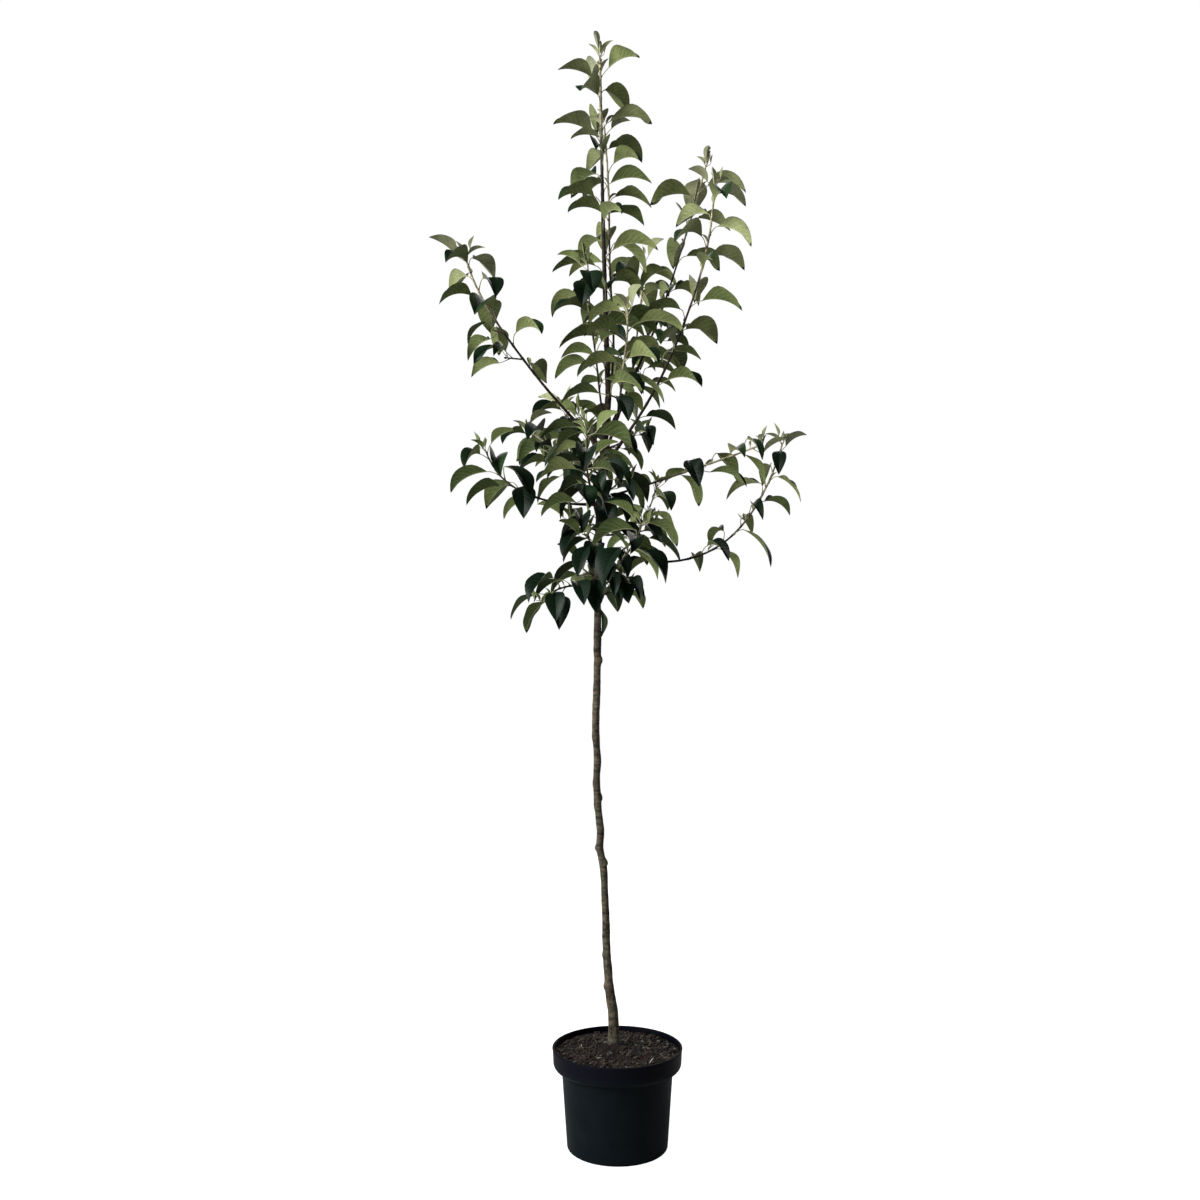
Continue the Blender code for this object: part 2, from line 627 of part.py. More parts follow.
def build_soil():
    inside = inner_profile(CLEAR)
    edge = inside[-1][0]
    profile = [(0.0, WALL + CLEAR)] + inside
    profile += [(edge * out, SOIL_HEIGHT - SOIL_FALL * fall) for out, fall in SOIL_SHAPE[::-1]]
    profile.append((0.0, SOIL_HEIGHT))
    turned_solid("compost", profile, POT_SIDES, (0.032, 0.027, 0.022), 0.95)


def build_trunk():
    verts, faces = trunk_shape()
    add_object("trunk", verts, faces, (0.10, 0.088, 0.062), 0.8)
    verts, faces = trunk_shape(grow=CLEAR)
    cutter = add_object("trunk_cutter", verts, faces)
    cutter.hide_render = True
    cutter.display_type = "WIRE"
    return cutter


def cut_by(thing, cutter):
    cut = thing.modifiers.new("against the trunk", "BOOLEAN")
    cut.operation = "DIFFERENCE"
    cut.solver = "EXACT"
    cut.object = cutter


def build_bough(limb, cutter):
    verts, faces = limb_stretch(limb, 0.0, limb.bare, BOUGH_STEP, BOUGH_SIDES)
    bough = add_object("bough_" + limb.name, verts, faces, (0.075, 0.052, 0.042), 0.7)
    cut_by(bough, cutter)


def dissolved(mesh):
    """The same mesh without the cuts that the union leaves across flat faces."""
    shell = bmesh.new()
    shell.from_mesh(mesh)
    bmesh.ops.dissolve_limit(
        shell, angle_limit=math.radians(FLAT_ANGLE), verts=shell.verts, edges=shell.edges
    )
    bmesh.ops.triangulate(shell, faces=shell.faces)
    shell.to_mesh(mesh)
    shell.free()
    return mesh


def fuse(thing, pieces):
    """Joins the pieces to a solid with one union, and removes them."""
    group = bpy.data.collections.new(thing.name + "_pieces")
    bpy.context.scene.collection.children.link(group)
    for piece in pieces:
        bpy.context.scene.collection.objects.unlink(piece)
        group.objects.link(piece)
    union = thing.modifiers.new("leaves and twigs", "BOOLEAN")
    union.operation = "UNION"
    union.solver = "EXACT"
    union.operand_type = "COLLECTION"
    union.collection = group
    bpy.context.view_layer.update()
    joined = thing.evaluated_get(bpy.context.evaluated_depsgraph_get())
    mesh = bpy.data.meshes.new_from_object(joined)
    thing.modifiers.remove(union)
    thing.data = dissolved(mesh)
    for piece in pieces:
        bpy.data.objects.remove(piece)
    bpy.data.collections.remove(group)


def build_shoot(limb, growth, cutter):
    """One leafy shoot as a single solid: stem, spur twigs and leaves fused."""
    leaves, twigs = growth
    verts, faces = limb_stretch(limb, stem_start(limb), 1.0, STEM_STEP, STEM_SIDES)
    if limb.height == FORK_HEIGHT:
        verts[:STEM_SIDES, 2] = FORK_HEIGHT + CLEAR
    green = (0.080, 0.105, 0.048) if limb.height + limb.rise > 1.5 else (0.040, 0.065, 0.030)
    shoot = add_object("leaves_" + limb.name, verts, faces, green, 0.6)
    pieces = [add_object("twig", *twig_solid(twig)) for twig in twigs]
    pieces += [add_object("leaf", *leaf_solid(leaf)) for leaf in leaves]
    fuse(shoot, pieces)
    if not limb.bare and limb.height < FORK_HEIGHT:
        cut_by(shoot, cutter)


def main():
    for thing in list(bpy.data.objects):
        bpy.data.objects.remove(thing)
    build_pot()
    build_soil()
    cutter = build_trunk()
    growth = grow_tree()
    for limb in LIMBS:
        if limb.bare:
            build_bough(limb, cutter)
        build_shoot(limb, growth[limb.name], cutter)


main()
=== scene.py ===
"""Potted apple tree: bark, leaves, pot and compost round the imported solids.

Metres, +Z up, the viewer on the -Y side. Limbs, twigs and leaves come from the same named
sizes and the same seeded rule as the solids that they replace, in finer shapes.
"""
import math
import random
from collections import namedtuple

import bpy
import numpy as np
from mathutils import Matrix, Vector
from mathutils.bvhtree import BVHTree


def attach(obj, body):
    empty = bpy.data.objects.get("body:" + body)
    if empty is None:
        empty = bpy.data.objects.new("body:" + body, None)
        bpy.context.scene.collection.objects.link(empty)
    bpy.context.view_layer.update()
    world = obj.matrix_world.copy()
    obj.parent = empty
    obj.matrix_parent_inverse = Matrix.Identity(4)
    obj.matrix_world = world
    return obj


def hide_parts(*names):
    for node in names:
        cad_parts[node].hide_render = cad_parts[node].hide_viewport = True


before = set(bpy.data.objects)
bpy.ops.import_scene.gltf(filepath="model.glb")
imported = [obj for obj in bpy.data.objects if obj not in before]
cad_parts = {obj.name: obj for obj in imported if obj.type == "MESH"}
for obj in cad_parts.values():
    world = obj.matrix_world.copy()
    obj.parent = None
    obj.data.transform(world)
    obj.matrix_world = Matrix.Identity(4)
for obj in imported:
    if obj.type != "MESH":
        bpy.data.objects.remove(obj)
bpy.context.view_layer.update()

# Camera, as the photo was framed: focal length in pixels of a 1200 pixel side
PICTURE_SIDE = 1200.0
FOCAL_PIXELS = 1209.0
SENSOR = 36.0
CAMERA_PLACE = (-0.034, -2.4, 0.984)
CAMERA_TILT = 92.0

# Driving sizes, metres
CLEAR = 0.0003
POT_HEIGHT = 0.193
RIM_RADIUS = 0.1275
LIP_WIDTH = 0.0042
COLLAR_FOOT_RADIUS = 0.1255
COLLAR_FOOT_HEIGHT = 0.164
BODY_TOP_RADIUS = 0.1088
BODY_TOP_HEIGHT = 0.150
BODY_FOOT_RADIUS = 0.0985
BODY_FOOT_ROUND = 0.004
WALL = 0.003
SOIL_HEIGHT = 0.186
SOIL_FALL = 0.008
# Radius and fall of the compost's flat middle and of its shoulder, as shares
SOIL_SHAPE = ((0.40, 0.0), (0.72, 0.55), (1.0, 1.0))
SOIL_EDGE = COLLAR_FOOT_RADIUS - WALL - CLEAR

FORK_HEIGHT = 1.474
FLARE = 0.0042
FLARE_HEIGHT = 0.012
TRUNK_STEP = 0.030
TRUNK_SIDES = 8
# Heights of the trunk's first rings above the compost, close over the flare
FLARE_ROWS = (0.0, 0.006, 0.014, 0.026, 0.042)
# Height, sideways place and depth of the trunk's centre where it changes direction
TRUNK_LINE = (
    (SOIL_HEIGHT, -0.0065, 0.022),
    (0.255, -0.0085, 0.020),
    (0.305, -0.0158, 0.018),
    (0.475, -0.0243, 0.013),
    (0.546, -0.0285, 0.011),
    (0.576, -0.0345, 0.010),
    (0.610, -0.0330, 0.009),
    (0.660, -0.0378, 0.007),
    (0.716, -0.0405, 0.006),
    (0.748, -0.0390, 0.005),
    (0.803, -0.0424, 0.003),
    (0.900, -0.0400, 0.000),
    (1.144, -0.0380, 0.000),
    (1.269, -0.0340, 0.000),
    (1.404, -0.0240, 0.000),
    (FORK_HEIGHT, -0.0170, 0.000),
)
# Height and radius along the trunk: a thick rootstock up to the graft, then a slow taper
TRUNK_TAPER = (
    (SOIL_HEIGHT, 0.0107),
    (0.270, 0.0103),
    (0.335, 0.0080),
    (0.450, 0.0073),
    (0.900, 0.0072),
    (FORK_HEIGHT, 0.0064),
)
# Height and size of the old bud knots that thicken the trunk
TRUNK_KNOTS = (
    (0.308, 0.0012),
    (0.559, 0.0014),
    (0.692, 0.0012),
    (0.796, 0.0009),
    (0.948, 0.0015),
    (1.014, 0.0012),
)
KNOT_LENGTH = 0.011

BOUGH_SIDES = 6
BOUGH_STEP = 0.045
FOOT_SWELL = 0.35
FOOT_SWELL_LENGTH = 0.022
WANDER = 0.006

LEAF_LENGTH = 0.091
LEAF_WIDTH = 0.062
LEAF_THICK = 0.0026
LEAF_PLACES = (0.27, 0.66)
# How much flatter a leaf's fold is at its tip, as a share
FOLD_EASE = 0.3
PETIOLE_LENGTH = 0.028
PETIOLE_RADIUS = 0.0011
LEAF_TURN = 144.0
LEAF_TRIES = (0, 22, -22, 44, -44, 70, -70, 100, -100)
STALK_LIFT = 0.22
STALK_SHORTEST = 0.55
BLADE_OUT = 0.9
BLADE_FORWARD = 0.45
# Steepness of a blade at its base and at its tip, in degrees: of the last leaf of a
# shoot, the one below it, a leaf that stands out, and one that hangs
TIP_LEAF = (74.0, 66.0)
NEXT_LEAF = (48.0, 4.0)
OUT_LEAF = (23.0, -38.0)
OUT_LEAF_SAG = (26.0, 36.0)
HANGING_LEAF = (-18.0, -74.0)
# How far chance turns both ends of a leaf that stands out, and of one that hangs
OUT_SWAY = (10, 12)
HANGING_SWAY = (14, 10)
HANGING_FLATTER = 20.0
YOUNG_ROLLED = 20.0
HANGING_SHARE = 0.5
# Leaf sizes as shares: how much the tip leaf lacks, over how many leaves that fades,
# and the first leaf of a shoot with what each next one gains
TIP_LACK = 0.68
TIP_FADE = 1.3
FIRST_SIZE = 0.80
SIZE_GAIN = 0.08
TIP_CROWDING = 1.3
FIRST_GAP = 0.009
LEAF_ROOM = 0.0012
SPUR_LENGTH = 0.030
SPUR_RADIUS = 0.0017
SPUR_LEAVES = 3
SPUR_LEAF_GAP = 0.16
SPUR_LAST_LEAF = 0.94
SPUR_SIDES = 4
SPUR_TAPER = 0.8
# How much a spur twig leans forwards and up as it leaves its limb
SPUR_FORWARD = 0.55
SPUR_UP = 0.25
STEM_GAP = 0.002
LEAST_SLANT = 0.05
# How far a leaf may be from its own stem, and how much nearer to another one. A limb's
# place is told by points along it, and a leaf's by the middle of its midrib
SPACE_RADIUS = 0.150
SPACE_SLACK = 0.045
PLACE_POINTS = 25
LEAF_MIDDLE = 14

# A limb leaves the trunk at a height, on a compass heading (0 is +X, 90 is +Y), and ends
# after a reach outwards and a rise. Its line bends at a share of the way, by a bow
# outwards and down and a swing to the left. Foot and tip are its radii there. It is bare
# up to a share of its length, and past that has so many leaf places, the lowest of them
# with spurs. Hang is how readily its leaves droop, and the seed sets small differences.
Limb = namedtuple(
    "Limb",
    "name height heading reach rise bend bow swing foot tip bare leaves spurs hang seed",
)
LIMBS = tuple(Limb(*row) for row in (
    ("leader", FORK_HEIGHT, 180, 0.017, 0.692, 0.45, 0.004, 0, 0.0062, 0.0019, 0, 28, 1, 0.05, 561),
    ("second_leader", 1.409, 92, 0.048, 0.635, 0.3, 0.044, -0.032, 0.0042, 0.0016, 0.18, 19, 1, 0.15, 701),
    ("left_upper", 1.367, -166, 0.278, 0.368, 0.7, 0.05, -0.012, 0.0042, 0.0016, 0.32, 13, 2, 0.4, 632),
    ("right_rear", 1.387, 29, 0.246, 0.602, 0.47, 0.031, -0.012, 0.0042, 0.0016, 0.14, 17, 2, 0.25, 596),
    ("right_front", 1.329, -29, 0.246, 0.528, 0.55, 0.08, 0.045, 0.0044, 0.0016, 0.16, 18, 2, 0.3, 471),
    ("right_mid", 1.269, -17, 0.32, 0.092, 0.52, 0.006, 0.003, 0.0034, 0.0015, 0.4, 9, 0, 0.5, 564),
    ("right_low", 1.171, 12, 0.388, 0.222, 0.43, 0.232, -0.02, 0.004, 0.0016, 0.34, 14, 0, 0.55, 557),
    ("left_mid", 1.259, -160, 0.234, 0.095, 0.68, 0.085, -0.016, 0.0034, 0.0015, 0.36, 11, 0, 0.7, 706),
    ("left_inner", 1.289, 148, 0.178, 0.134, 0.5, -0.007, -0.004, 0.0032, 0.0014, 0.33, 9, 1, 0.45, 673),
    ("left_low", 1.09, -139, 0.138, -0.026, 0.57, -0.033, -0.004, 0.003, 0.0015, 0.25, 9, 0, 0.95, 451),
    ("inner_left", 1.412, -125, 0.061, 0.318, 0.5, 0.012, -0.005, 0.003, 0.0014, 0.2, 10, 0, 0.25, 716),
    ("front_upper", 1.349, -80, 0.255, 0.235, 0.55, 0.055, 0.015, 0.0036, 0.0015, 0.34, 11, 1, 0.45, 624),
    ("front_mid", 1.229, -94, 0.295, 0.125, 0.55, 0.04, -0.012, 0.0036, 0.0015, 0.34, 11, 1, 0.6, 823),
    ("front_low", 1.124, -70, 0.235, 0.075, 0.55, 0.045, 0.01, 0.0032, 0.0015, 0.34, 9, 0, 0.7, 642),
    ("back_upper", 1.345, 70, 0.265, 0.485, 0.6, 0.06, -0.02, 0.0042, 0.0016, 0.3, 14, 1, 0.3, 477),
    ("back_mid", 1.249, 104, 0.31, 0.265, 0.6, 0.06, 0.015, 0.004, 0.0016, 0.34, 13, 1, 0.4, 637),
    ("back_low", 1.144, 64, 0.3, 0.19, 0.55, 0.09, 0.01, 0.0038, 0.0016, 0.36, 12, 0, 0.55, 591),
    ("spur_right", 1.199, 2, 0.105, 0.012, 0.5, 0.012, 0, 0.0026, 0.0014, 0, 6, 0, 0.6, 715),
    ("spur_low_right", 1.076, 20, 0.05, 0.02, 0.5, 0.006, 0, 0.0024, 0.0014, 0, 5, 0, 0.8, 570),
    ("spur_low_front", 1.098, -30, 0.055, 0.018, 0.5, 0.006, 0, 0.0024, 0.0014, 0, 5, 0, 0.8, 724),
    ("spur_low_back", 1.114, 128, 0.05, 0.02, 0.5, 0.006, 0, 0.0024, 0.0014, 0, 5, 0, 0.8, 727),
    ("spur_mid_front", 1.167, -112, 0.06, 0.026, 0.5, 0.008, 0, 0.0024, 0.0014, 0, 5, 0, 0.7, 577),
    ("spur_mid_left", 1.206, -166, 0.055, 0.026, 0.5, 0.008, 0, 0.0024, 0.0014, 0, 5, 0, 0.6, 670),
    ("spur_high_front", 1.309, -112, 0.06, 0.03, 0.5, 0.008, 0, 0.0024, 0.0014, 0, 5, 0, 0.65, 560),
    ("spur_mid_rear", 1.319, 150, 0.06, 0.035, 0.5, 0.008, 0, 0.0024, 0.0014, 0, 5, 0, 0.45, 621),
    ("spur_front", 1.276, -46, 0.065, 0.03, 0.5, 0.008, 0, 0.0024, 0.0014, 0, 5, 0, 0.65, 497),
    ("spur_high_right", 1.368, 6, 0.07, 0.04, 0.5, 0.01, 0, 0.0024, 0.0014, 0, 6, 0, 0.55, 560),
    ("spur_high_left", 1.398, 165, 0.05, 0.04, 0.5, 0.008, 0, 0.0024, 0.0014, 0, 5, 0, 0.35, 542),
))

# One leaf: where its stalk leaves the stem, where its blade starts, the way the blade
# runs, its first and last steepness, its sideways curl, its roll and fold, its size as
# a share, and how many leaves are between it and the tip
Leaf = namedtuple("Leaf", "root base heading rise droop curl roll fold size from_tip")

UP = np.array((0.0, 0.0, 1.0))
LEVEL = ((1, 0, 0), (0, 1, 0))


def unit(vector):
    return vector / np.linalg.norm(vector)


def units(rows):
    return rows / np.linalg.norm(rows, axis=1)[:, None]


def turned(degrees):
    """The level unit vector on a compass heading."""
    angle = math.radians(degrees)
    return np.array((math.cos(angle), math.sin(angle), 0.0))


def square_to(way):
    """Two unit vectors square to a way and to each other."""
    first = unit(np.cross(way, UP + 0.3 * turned(35)))
    return first, np.cross(way, first)


def trunk_centre(heights):
    """Centre of the trunk at some heights: cubic pieces between the named places, whose
    slope at each place is that of the chord past it."""
    line = np.array(TRUNK_LINE)
    knots = line[:, 0]
    slopes = np.gradient(line[:, 1:], knots, axis=0)
    heights = np.clip(np.atleast_1d(heights), knots[0], knots[-1])
    at = np.clip(np.searchsorted(knots, heights, side="right") - 1, 0, len(knots) - 2)
    span = (knots[at + 1] - knots[at])[:, None]
    u = (heights - knots[at])[:, None] / span
    start, end = line[at, 1:], line[at + 1, 1:]
    flat = (
        start * (1 + 2 * u) * (1 - u) ** 2
        + slopes[at] * span * u * (1 - u) ** 2
        + end * u * u * (3 - 2 * u)
        + slopes[at + 1] * span * u * u * (u - 1)
    )
    return np.column_stack((flat, heights))


def trunk_radius(heights):
    """Radius of the trunk: the taper, the flare at the foot and the knots."""
    marks, sizes = np.array(TRUNK_TAPER).T
    radius = np.interp(heights, marks, sizes)
    radius = radius + FLARE * np.exp(-(heights - SOIL_HEIGHT) / FLARE_HEIGHT)
    for height, size in TRUNK_KNOTS:
        radius = radius + size * np.exp(-(((heights - height) / KNOT_LENGTH) ** 2))
    return radius


def limb_line(limb, t):
    """Points of a limb's centre at shares t of its way: a quadratic Bezier, with a slow
    sideways wander that is nil at both ends."""
    t = np.atleast_1d(np.asarray(t, float))[:, None]
    out = turned(limb.heading)
    side = np.cross(UP, out)
    foot = trunk_centre(limb.height)[0]
    chord = out * limb.reach + UP * limb.rise
    below = np.cross(side, unit(chord))
    bend = foot + chord * limb.bend + below * limb.bow + side * limb.swing
    line = foot * (1 - t) ** 2 + bend * 2 * t * (1 - t) + (foot + chord) * t * t
    phase = math.radians(limb.heading)
    swell = np.sin(math.pi * t) * np.sin(3 * math.pi * t + phase)
    return line + side * WANDER * float(np.linalg.norm(chord)) * swell


def limb_length(limb):
    line = limb_line(limb, np.linspace(0, 1, 33))
    return float(np.linalg.norm(np.diff(line, axis=0), axis=1).sum())


def limb_radius(limb, t):
    """Radius along a limb: an even taper, and a swelling where it leaves the trunk."""
    t = np.asarray(t, float)
    swell = FOOT_SWELL * np.exp(-((t * limb_length(limb) / FOOT_SWELL_LENGTH) ** 2))
    return (limb.foot + (limb.tip - limb.foot) * t) * (1 + swell * (limb.height < FORK_HEIGHT))


def limb_frames(limb, t):
    """Direction of a limb at shares t, and two normals that turn with it."""
    step = 0.004
    t = np.asarray(t, float)
    along = units(limb_line(limb, t + step) - limb_line(limb, t - step))
    side = np.cross(UP, turned(limb.heading))
    first = units(side - along * (along @ side)[:, None])
    return along, first, np.cross(along, first)


def blade_line(leaf, steps=24):
    """Midrib of a leaf: from its base, in even steps whose steepness goes from the rise
    to the droop while the heading curls round. Gives points, sides and normals."""
    middle = (np.arange(steps) + 0.5) / steps
    ends = np.linspace(0, 1, steps + 1)

    def direction(u):
        steep = np.radians(leaf.rise + (leaf.droop - leaf.rise) * u)
        way = np.radians(leaf.heading + leaf.curl * u * u)
        level = np.column_stack((np.cos(way), np.sin(way), np.zeros_like(u)))
        return level, np.cos(steep)[:, None], np.sin(steep)[:, None]

    level, flat, climb = direction(middle)
    stride = LEAF_LENGTH * leaf.size / steps
    way = np.cumsum(level * flat + UP * climb, axis=0)
    points = leaf.base + np.vstack((np.zeros(3), way)) * stride
    level, flat, climb = direction(ends)
    normal = UP * flat - level * climb
    side = np.cross(level * flat + UP * climb, normal)
    roll = math.radians(leaf.roll)
    return (
        points,
        side * math.cos(roll) + normal * math.sin(roll),
        normal * math.cos(roll) - side * math.sin(roll),
    )


def blade_half_width(u):
    """Half width of a leaf along its midrib, as a share of the full width: an egg shape
    that is widest before the middle and drawn out to a point."""
    shape = np.sin(math.pi * np.clip(u, 0, 1) ** 0.82) ** 0.78
    return 0.5 * shape * (1.0 - 0.10 * u)


def leaf_solid(leaf, room=0.0, lift=0.0):
    """A leaf as a closed solid: a three-sided stalk from the stem's axis to the blade,
    two folded cross-sections of four points, and the tip. Room thickens it and lift
    starts the stalk further out, for testing whether the leaf fits."""
    points, sides, normals = blade_line(leaf)
    steps = len(points) - 1
    way = unit(leaf.base - leaf.root)
    half_way = unit(way + unit(points[1] - points[0]))
    verts = []
    r = PETIOLE_RADIUS + room
    for centre, facing in ((leaf.root + way * lift, way), (leaf.base, half_way)):
        left = unit(sides[0] - facing * (sides[0] @ facing))
        top = np.cross(left, facing)
        verts += [centre - left * r + top * r / 2, centre + left * r + top * r / 2, centre - top * r]
    for place in LEAF_PLACES:
        at = round(place * steps)
        wide = LEAF_WIDTH * leaf.size * float(blade_half_width(place)) + room
        fold = math.radians(leaf.fold * (1 - FOLD_EASE * place))
        out = sides[at] * math.cos(fold) * wide
        raised = normals[at] * math.sin(fold) * wide
        thick = normals[at] * (LEAF_THICK / 2 + room)
        mid = points[at]
        verts += [mid - out + raised, mid + out + raised, mid - thick, mid + thick]
    verts.append(points[-1] + (points[-1] - points[-2]) * room / (LEAF_LENGTH / steps))
    return np.array(verts), LEAF_FACES


def leaf_faces():
    """Triangles of a leaf: its root, the stalk's three sides, the stalk widening into
    the first fold, the blade between the folds, and the tip. The upper and the under
    side split alike, from the midrib back to the margin, so that they stay apart."""
    left, right, under, upper = 6, 7, 8, 9
    tip = 14
    faces = [(0, 1, 2)]
    for a, b in ((0, 2), (2, 1), (1, 0)):
        faces += [(a, b, b + 3), (a, b + 3, a + 3)]
    faces += [(3, 5, under), (3, under, left), (5, 4, under), (4, right, under)]
    faces += [(4, 3, upper), (3, left, upper), (4, upper, right)]
    faces += [(left, under, left + 4), (under, under + 4, left + 4)]
    faces += [(upper, left, left + 4), (upper, left + 4, upper + 4)]
    faces += [(under, right, right + 4), (under, right + 4, under + 4)]
    faces += [(right, upper, right + 4), (upper, upper + 4, right + 4)]
    for a, b in ((left, under), (under, right), (right, upper), (upper, left)):
        faces.append((a + 4, b + 4, tip))
    return faces


LEAF_FACES = leaf_faces()


def ring_faces(rows, sides):
    """Quads between neighbouring rings of a tube, rows times sides points in order."""
    ring = np.arange(rows - 1)[:, None] * sides
    k = np.arange(sides)
    after = (k + 1) % sides
    corners = (ring + k, ring + after, ring + sides + after, ring + sides + k)
    return np.stack(corners, axis=2).reshape(-1, 4)


def cap_faces(rows, sides):
    """The two end faces of such a tube."""
    last = (rows - 1) * sides
    return np.array((np.arange(sides)[::-1], np.arange(last, last + sides)))


def fan_faces(rows, sides):
    """Triangles that close such a tube round two more points, one below and one above."""
    k = np.arange(sides)
    after = (k + 1) % sides
    last = (rows - 1) * sides
    below, above = np.full(sides, rows * sides), np.full(sides, rows * sides + 1)
    return np.vstack((
        np.stack((below, after, k), axis=1),
        np.stack((last + k, last + after, above), axis=1),
    ))


def rings(line, first, second, radius, sides):
    """Rings of points round a line: the one at heading a is the line's point, plus the
    radius times (cos a first + sin a second). Radius is one a ring, or one a point."""
    angles = np.linspace(0, 2 * math.pi, sides, endpoint=False)
    first, second = (np.asarray(way).reshape(-1, 1, 3) for way in (first, second))
    around = np.cos(angles)[:, None] * first + np.sin(angles)[:, None] * second
    return line[:, None] + around * np.asarray(radius).reshape(len(line), -1, 1)


def tube(line, first, second, radii, sides):
    """A closed tube of rings along a line, its ends filled."""
    faces = ring_faces(len(line), sides).tolist() + cap_faces(len(line), sides).tolist()
    return rings(line, first, second, radii, sides).reshape(-1, 3), faces


def limb_solid(limb):
    """The tube of a whole limb."""
    t = np.linspace(0, 1, max(4, round(limb_length(limb) / BOUGH_STEP) + 1))
    _, first, second = limb_frames(limb, t)
    return tube(limb_line(limb, t), first, second, limb_radius(limb, t), BOUGH_SIDES)


def trunk_solid():
    """The trunk's tube, with closer rings over the flare at its foot."""
    near = SOIL_HEIGHT + CLEAR + np.array(FLARE_ROWS)
    count = round((FORK_HEIGHT - near[-1]) / TRUNK_STEP)
    heights = np.concatenate((near[:-1], np.linspace(near[-1], FORK_HEIGHT, count)))
    return tube(trunk_centre(heights), *LEVEL, trunk_radius(heights), TRUNK_SIDES)


def leafy_start(limb):
    """Share of a limb's way where its first leaf may stand: past the bough's tip, or out
    of the trunk."""
    gap = FIRST_GAP / limb_length(limb)
    if limb.height == FORK_HEIGHT:
        return gap
    trunk = float(trunk_radius(np.array(limb.height)))
    return max(limb.bare + gap, (trunk + FIRST_GAP) / limb_length(limb))


def clear_of_stem(way, along, radius):
    """How far along its own way a stalk has to go before it is out of its stem."""
    slant = math.sqrt(max(LEAST_SLANT, 1.0 - float(way @ along) ** 2))
    return (radius + STEM_GAP) / slant


def leaf_at(root, along, first, size, from_tip, draw, hang, hanging, turn):
    """A leaf on a stem: the stalk leaves forwards, out and a little up. The blade runs
    outwards, arches over and droops the more the more its shoot lets hang. A hanging one
    points down from its stalk, and is flatter."""
    spread, lean, roll, curl, fold, drop, sag = draw
    radial = unit(first * math.cos(turn) + np.cross(along, first) * math.sin(turn))
    way = unit(along * math.cos(spread) + radial * math.sin(spread) + UP * STALK_LIFT)
    level = radial * BLADE_OUT + along * BLADE_FORWARD
    heading = math.degrees(math.atan2(level[1], level[0])) + lean
    base = root + way * PETIOLE_LENGTH * (STALK_SHORTEST + (1 - STALK_SHORTEST) * size)
    if from_tip < 2:
        rise, droop = NEXT_LEAF if from_tip else TIP_LEAF
        fold += YOUNG_ROLLED
    elif hanging:
        rise = HANGING_LEAF[0] + HANGING_SWAY[0] * drop
        droop = HANGING_LEAF[1] + HANGING_SWAY[1] * drop
        fold -= HANGING_FLATTER
    else:
        rise = OUT_LEAF[0] - OUT_LEAF_SAG[0] * hang + OUT_SWAY[0] * drop
        droop = OUT_LEAF[1] - OUT_LEAF_SAG[1] * hang + OUT_SWAY[1] * sag
    return Leaf(root, base, heading, rise, droop, curl, roll, fold, size, from_tip)


def drawn(rng):
    """The seeded part of one leaf: stalk spread, heading, roll, curl, fold, drop, sag."""
    return (
        math.radians(rng.uniform(40, 56)),
        rng.uniform(-18, 18),
        rng.uniform(-16, 16),
        rng.uniform(-30, 30),
        rng.uniform(42, 58),
        rng.uniform(-1, 1),
        rng.uniform(-1, 1),
    )


class Crowd:
    """What is already there: solids that a new twig or leaf must stay clear of."""

    def __init__(self):
        self.solids = []

    def add(self, verts, faces):
        centre = (verts.min(0) + verts.max(0)) / 2
        reach = float(np.linalg.norm(verts - centre, axis=1).max())
        tree = BVHTree.FromPolygons(verts.tolist(), faces)
        self.solids.append((centre, reach, tree))

    def meets(self, verts, faces):
        centre = (verts.min(0) + verts.max(0)) / 2
        reach = float(np.linalg.norm(verts - centre, axis=1).max())
        tree = BVHTree.FromPolygons(verts.tolist(), faces)
        for other, size, solid in self.solids:
            if np.linalg.norm(other - centre) < size + reach and tree.overlap(solid):
                return True
        return False


def within_space(limb, leaf):
    """Whether a leaf keeps to its shoot's own space: near its stem, and not further into
    another limb's place than the slack."""
    middle = blade_line(leaf)[0][LEAF_MIDDLE]

    def away(other, start):
        line = limb_line(other, np.linspace(start, 1, PLACE_POINTS))
        return np.linalg.norm(line - middle, axis=1).min()

    own = away(limb, limb.bare)
    if own > SPACE_RADIUS:
        return False
    others = (other for other in LIMBS if other is not limb)
    return not any(away(other, 0.1) < own - SPACE_SLACK for other in others)


def fitted(limb, crowd, along, radius, make):
    """The first of a leaf's turns that keeps to its space and touches nothing."""
    for offset in LEAF_TRIES:
        leaf = make(math.radians(offset))
        lift = clear_of_stem(unit(leaf.base - leaf.root), along, radius)
        roomy = leaf_solid(leaf, room=LEAF_ROOM, lift=lift + LEAF_ROOM)
        if within_space(limb, leaf) and not crowd.meets(*roomy):
            crowd.add(*leaf_solid(leaf, lift=lift))
            return leaf
    return None


def leaf_places(limb):
    """Shares of the way along a limb where its leaves stand, closer towards the tip."""
    begin = leafy_start(limb)
    even = (np.arange(limb.leaves) + 0.1) / (limb.leaves - 0.7)
    return begin + (1 - begin) * (1 - (1 - even) ** TIP_CROWDING)


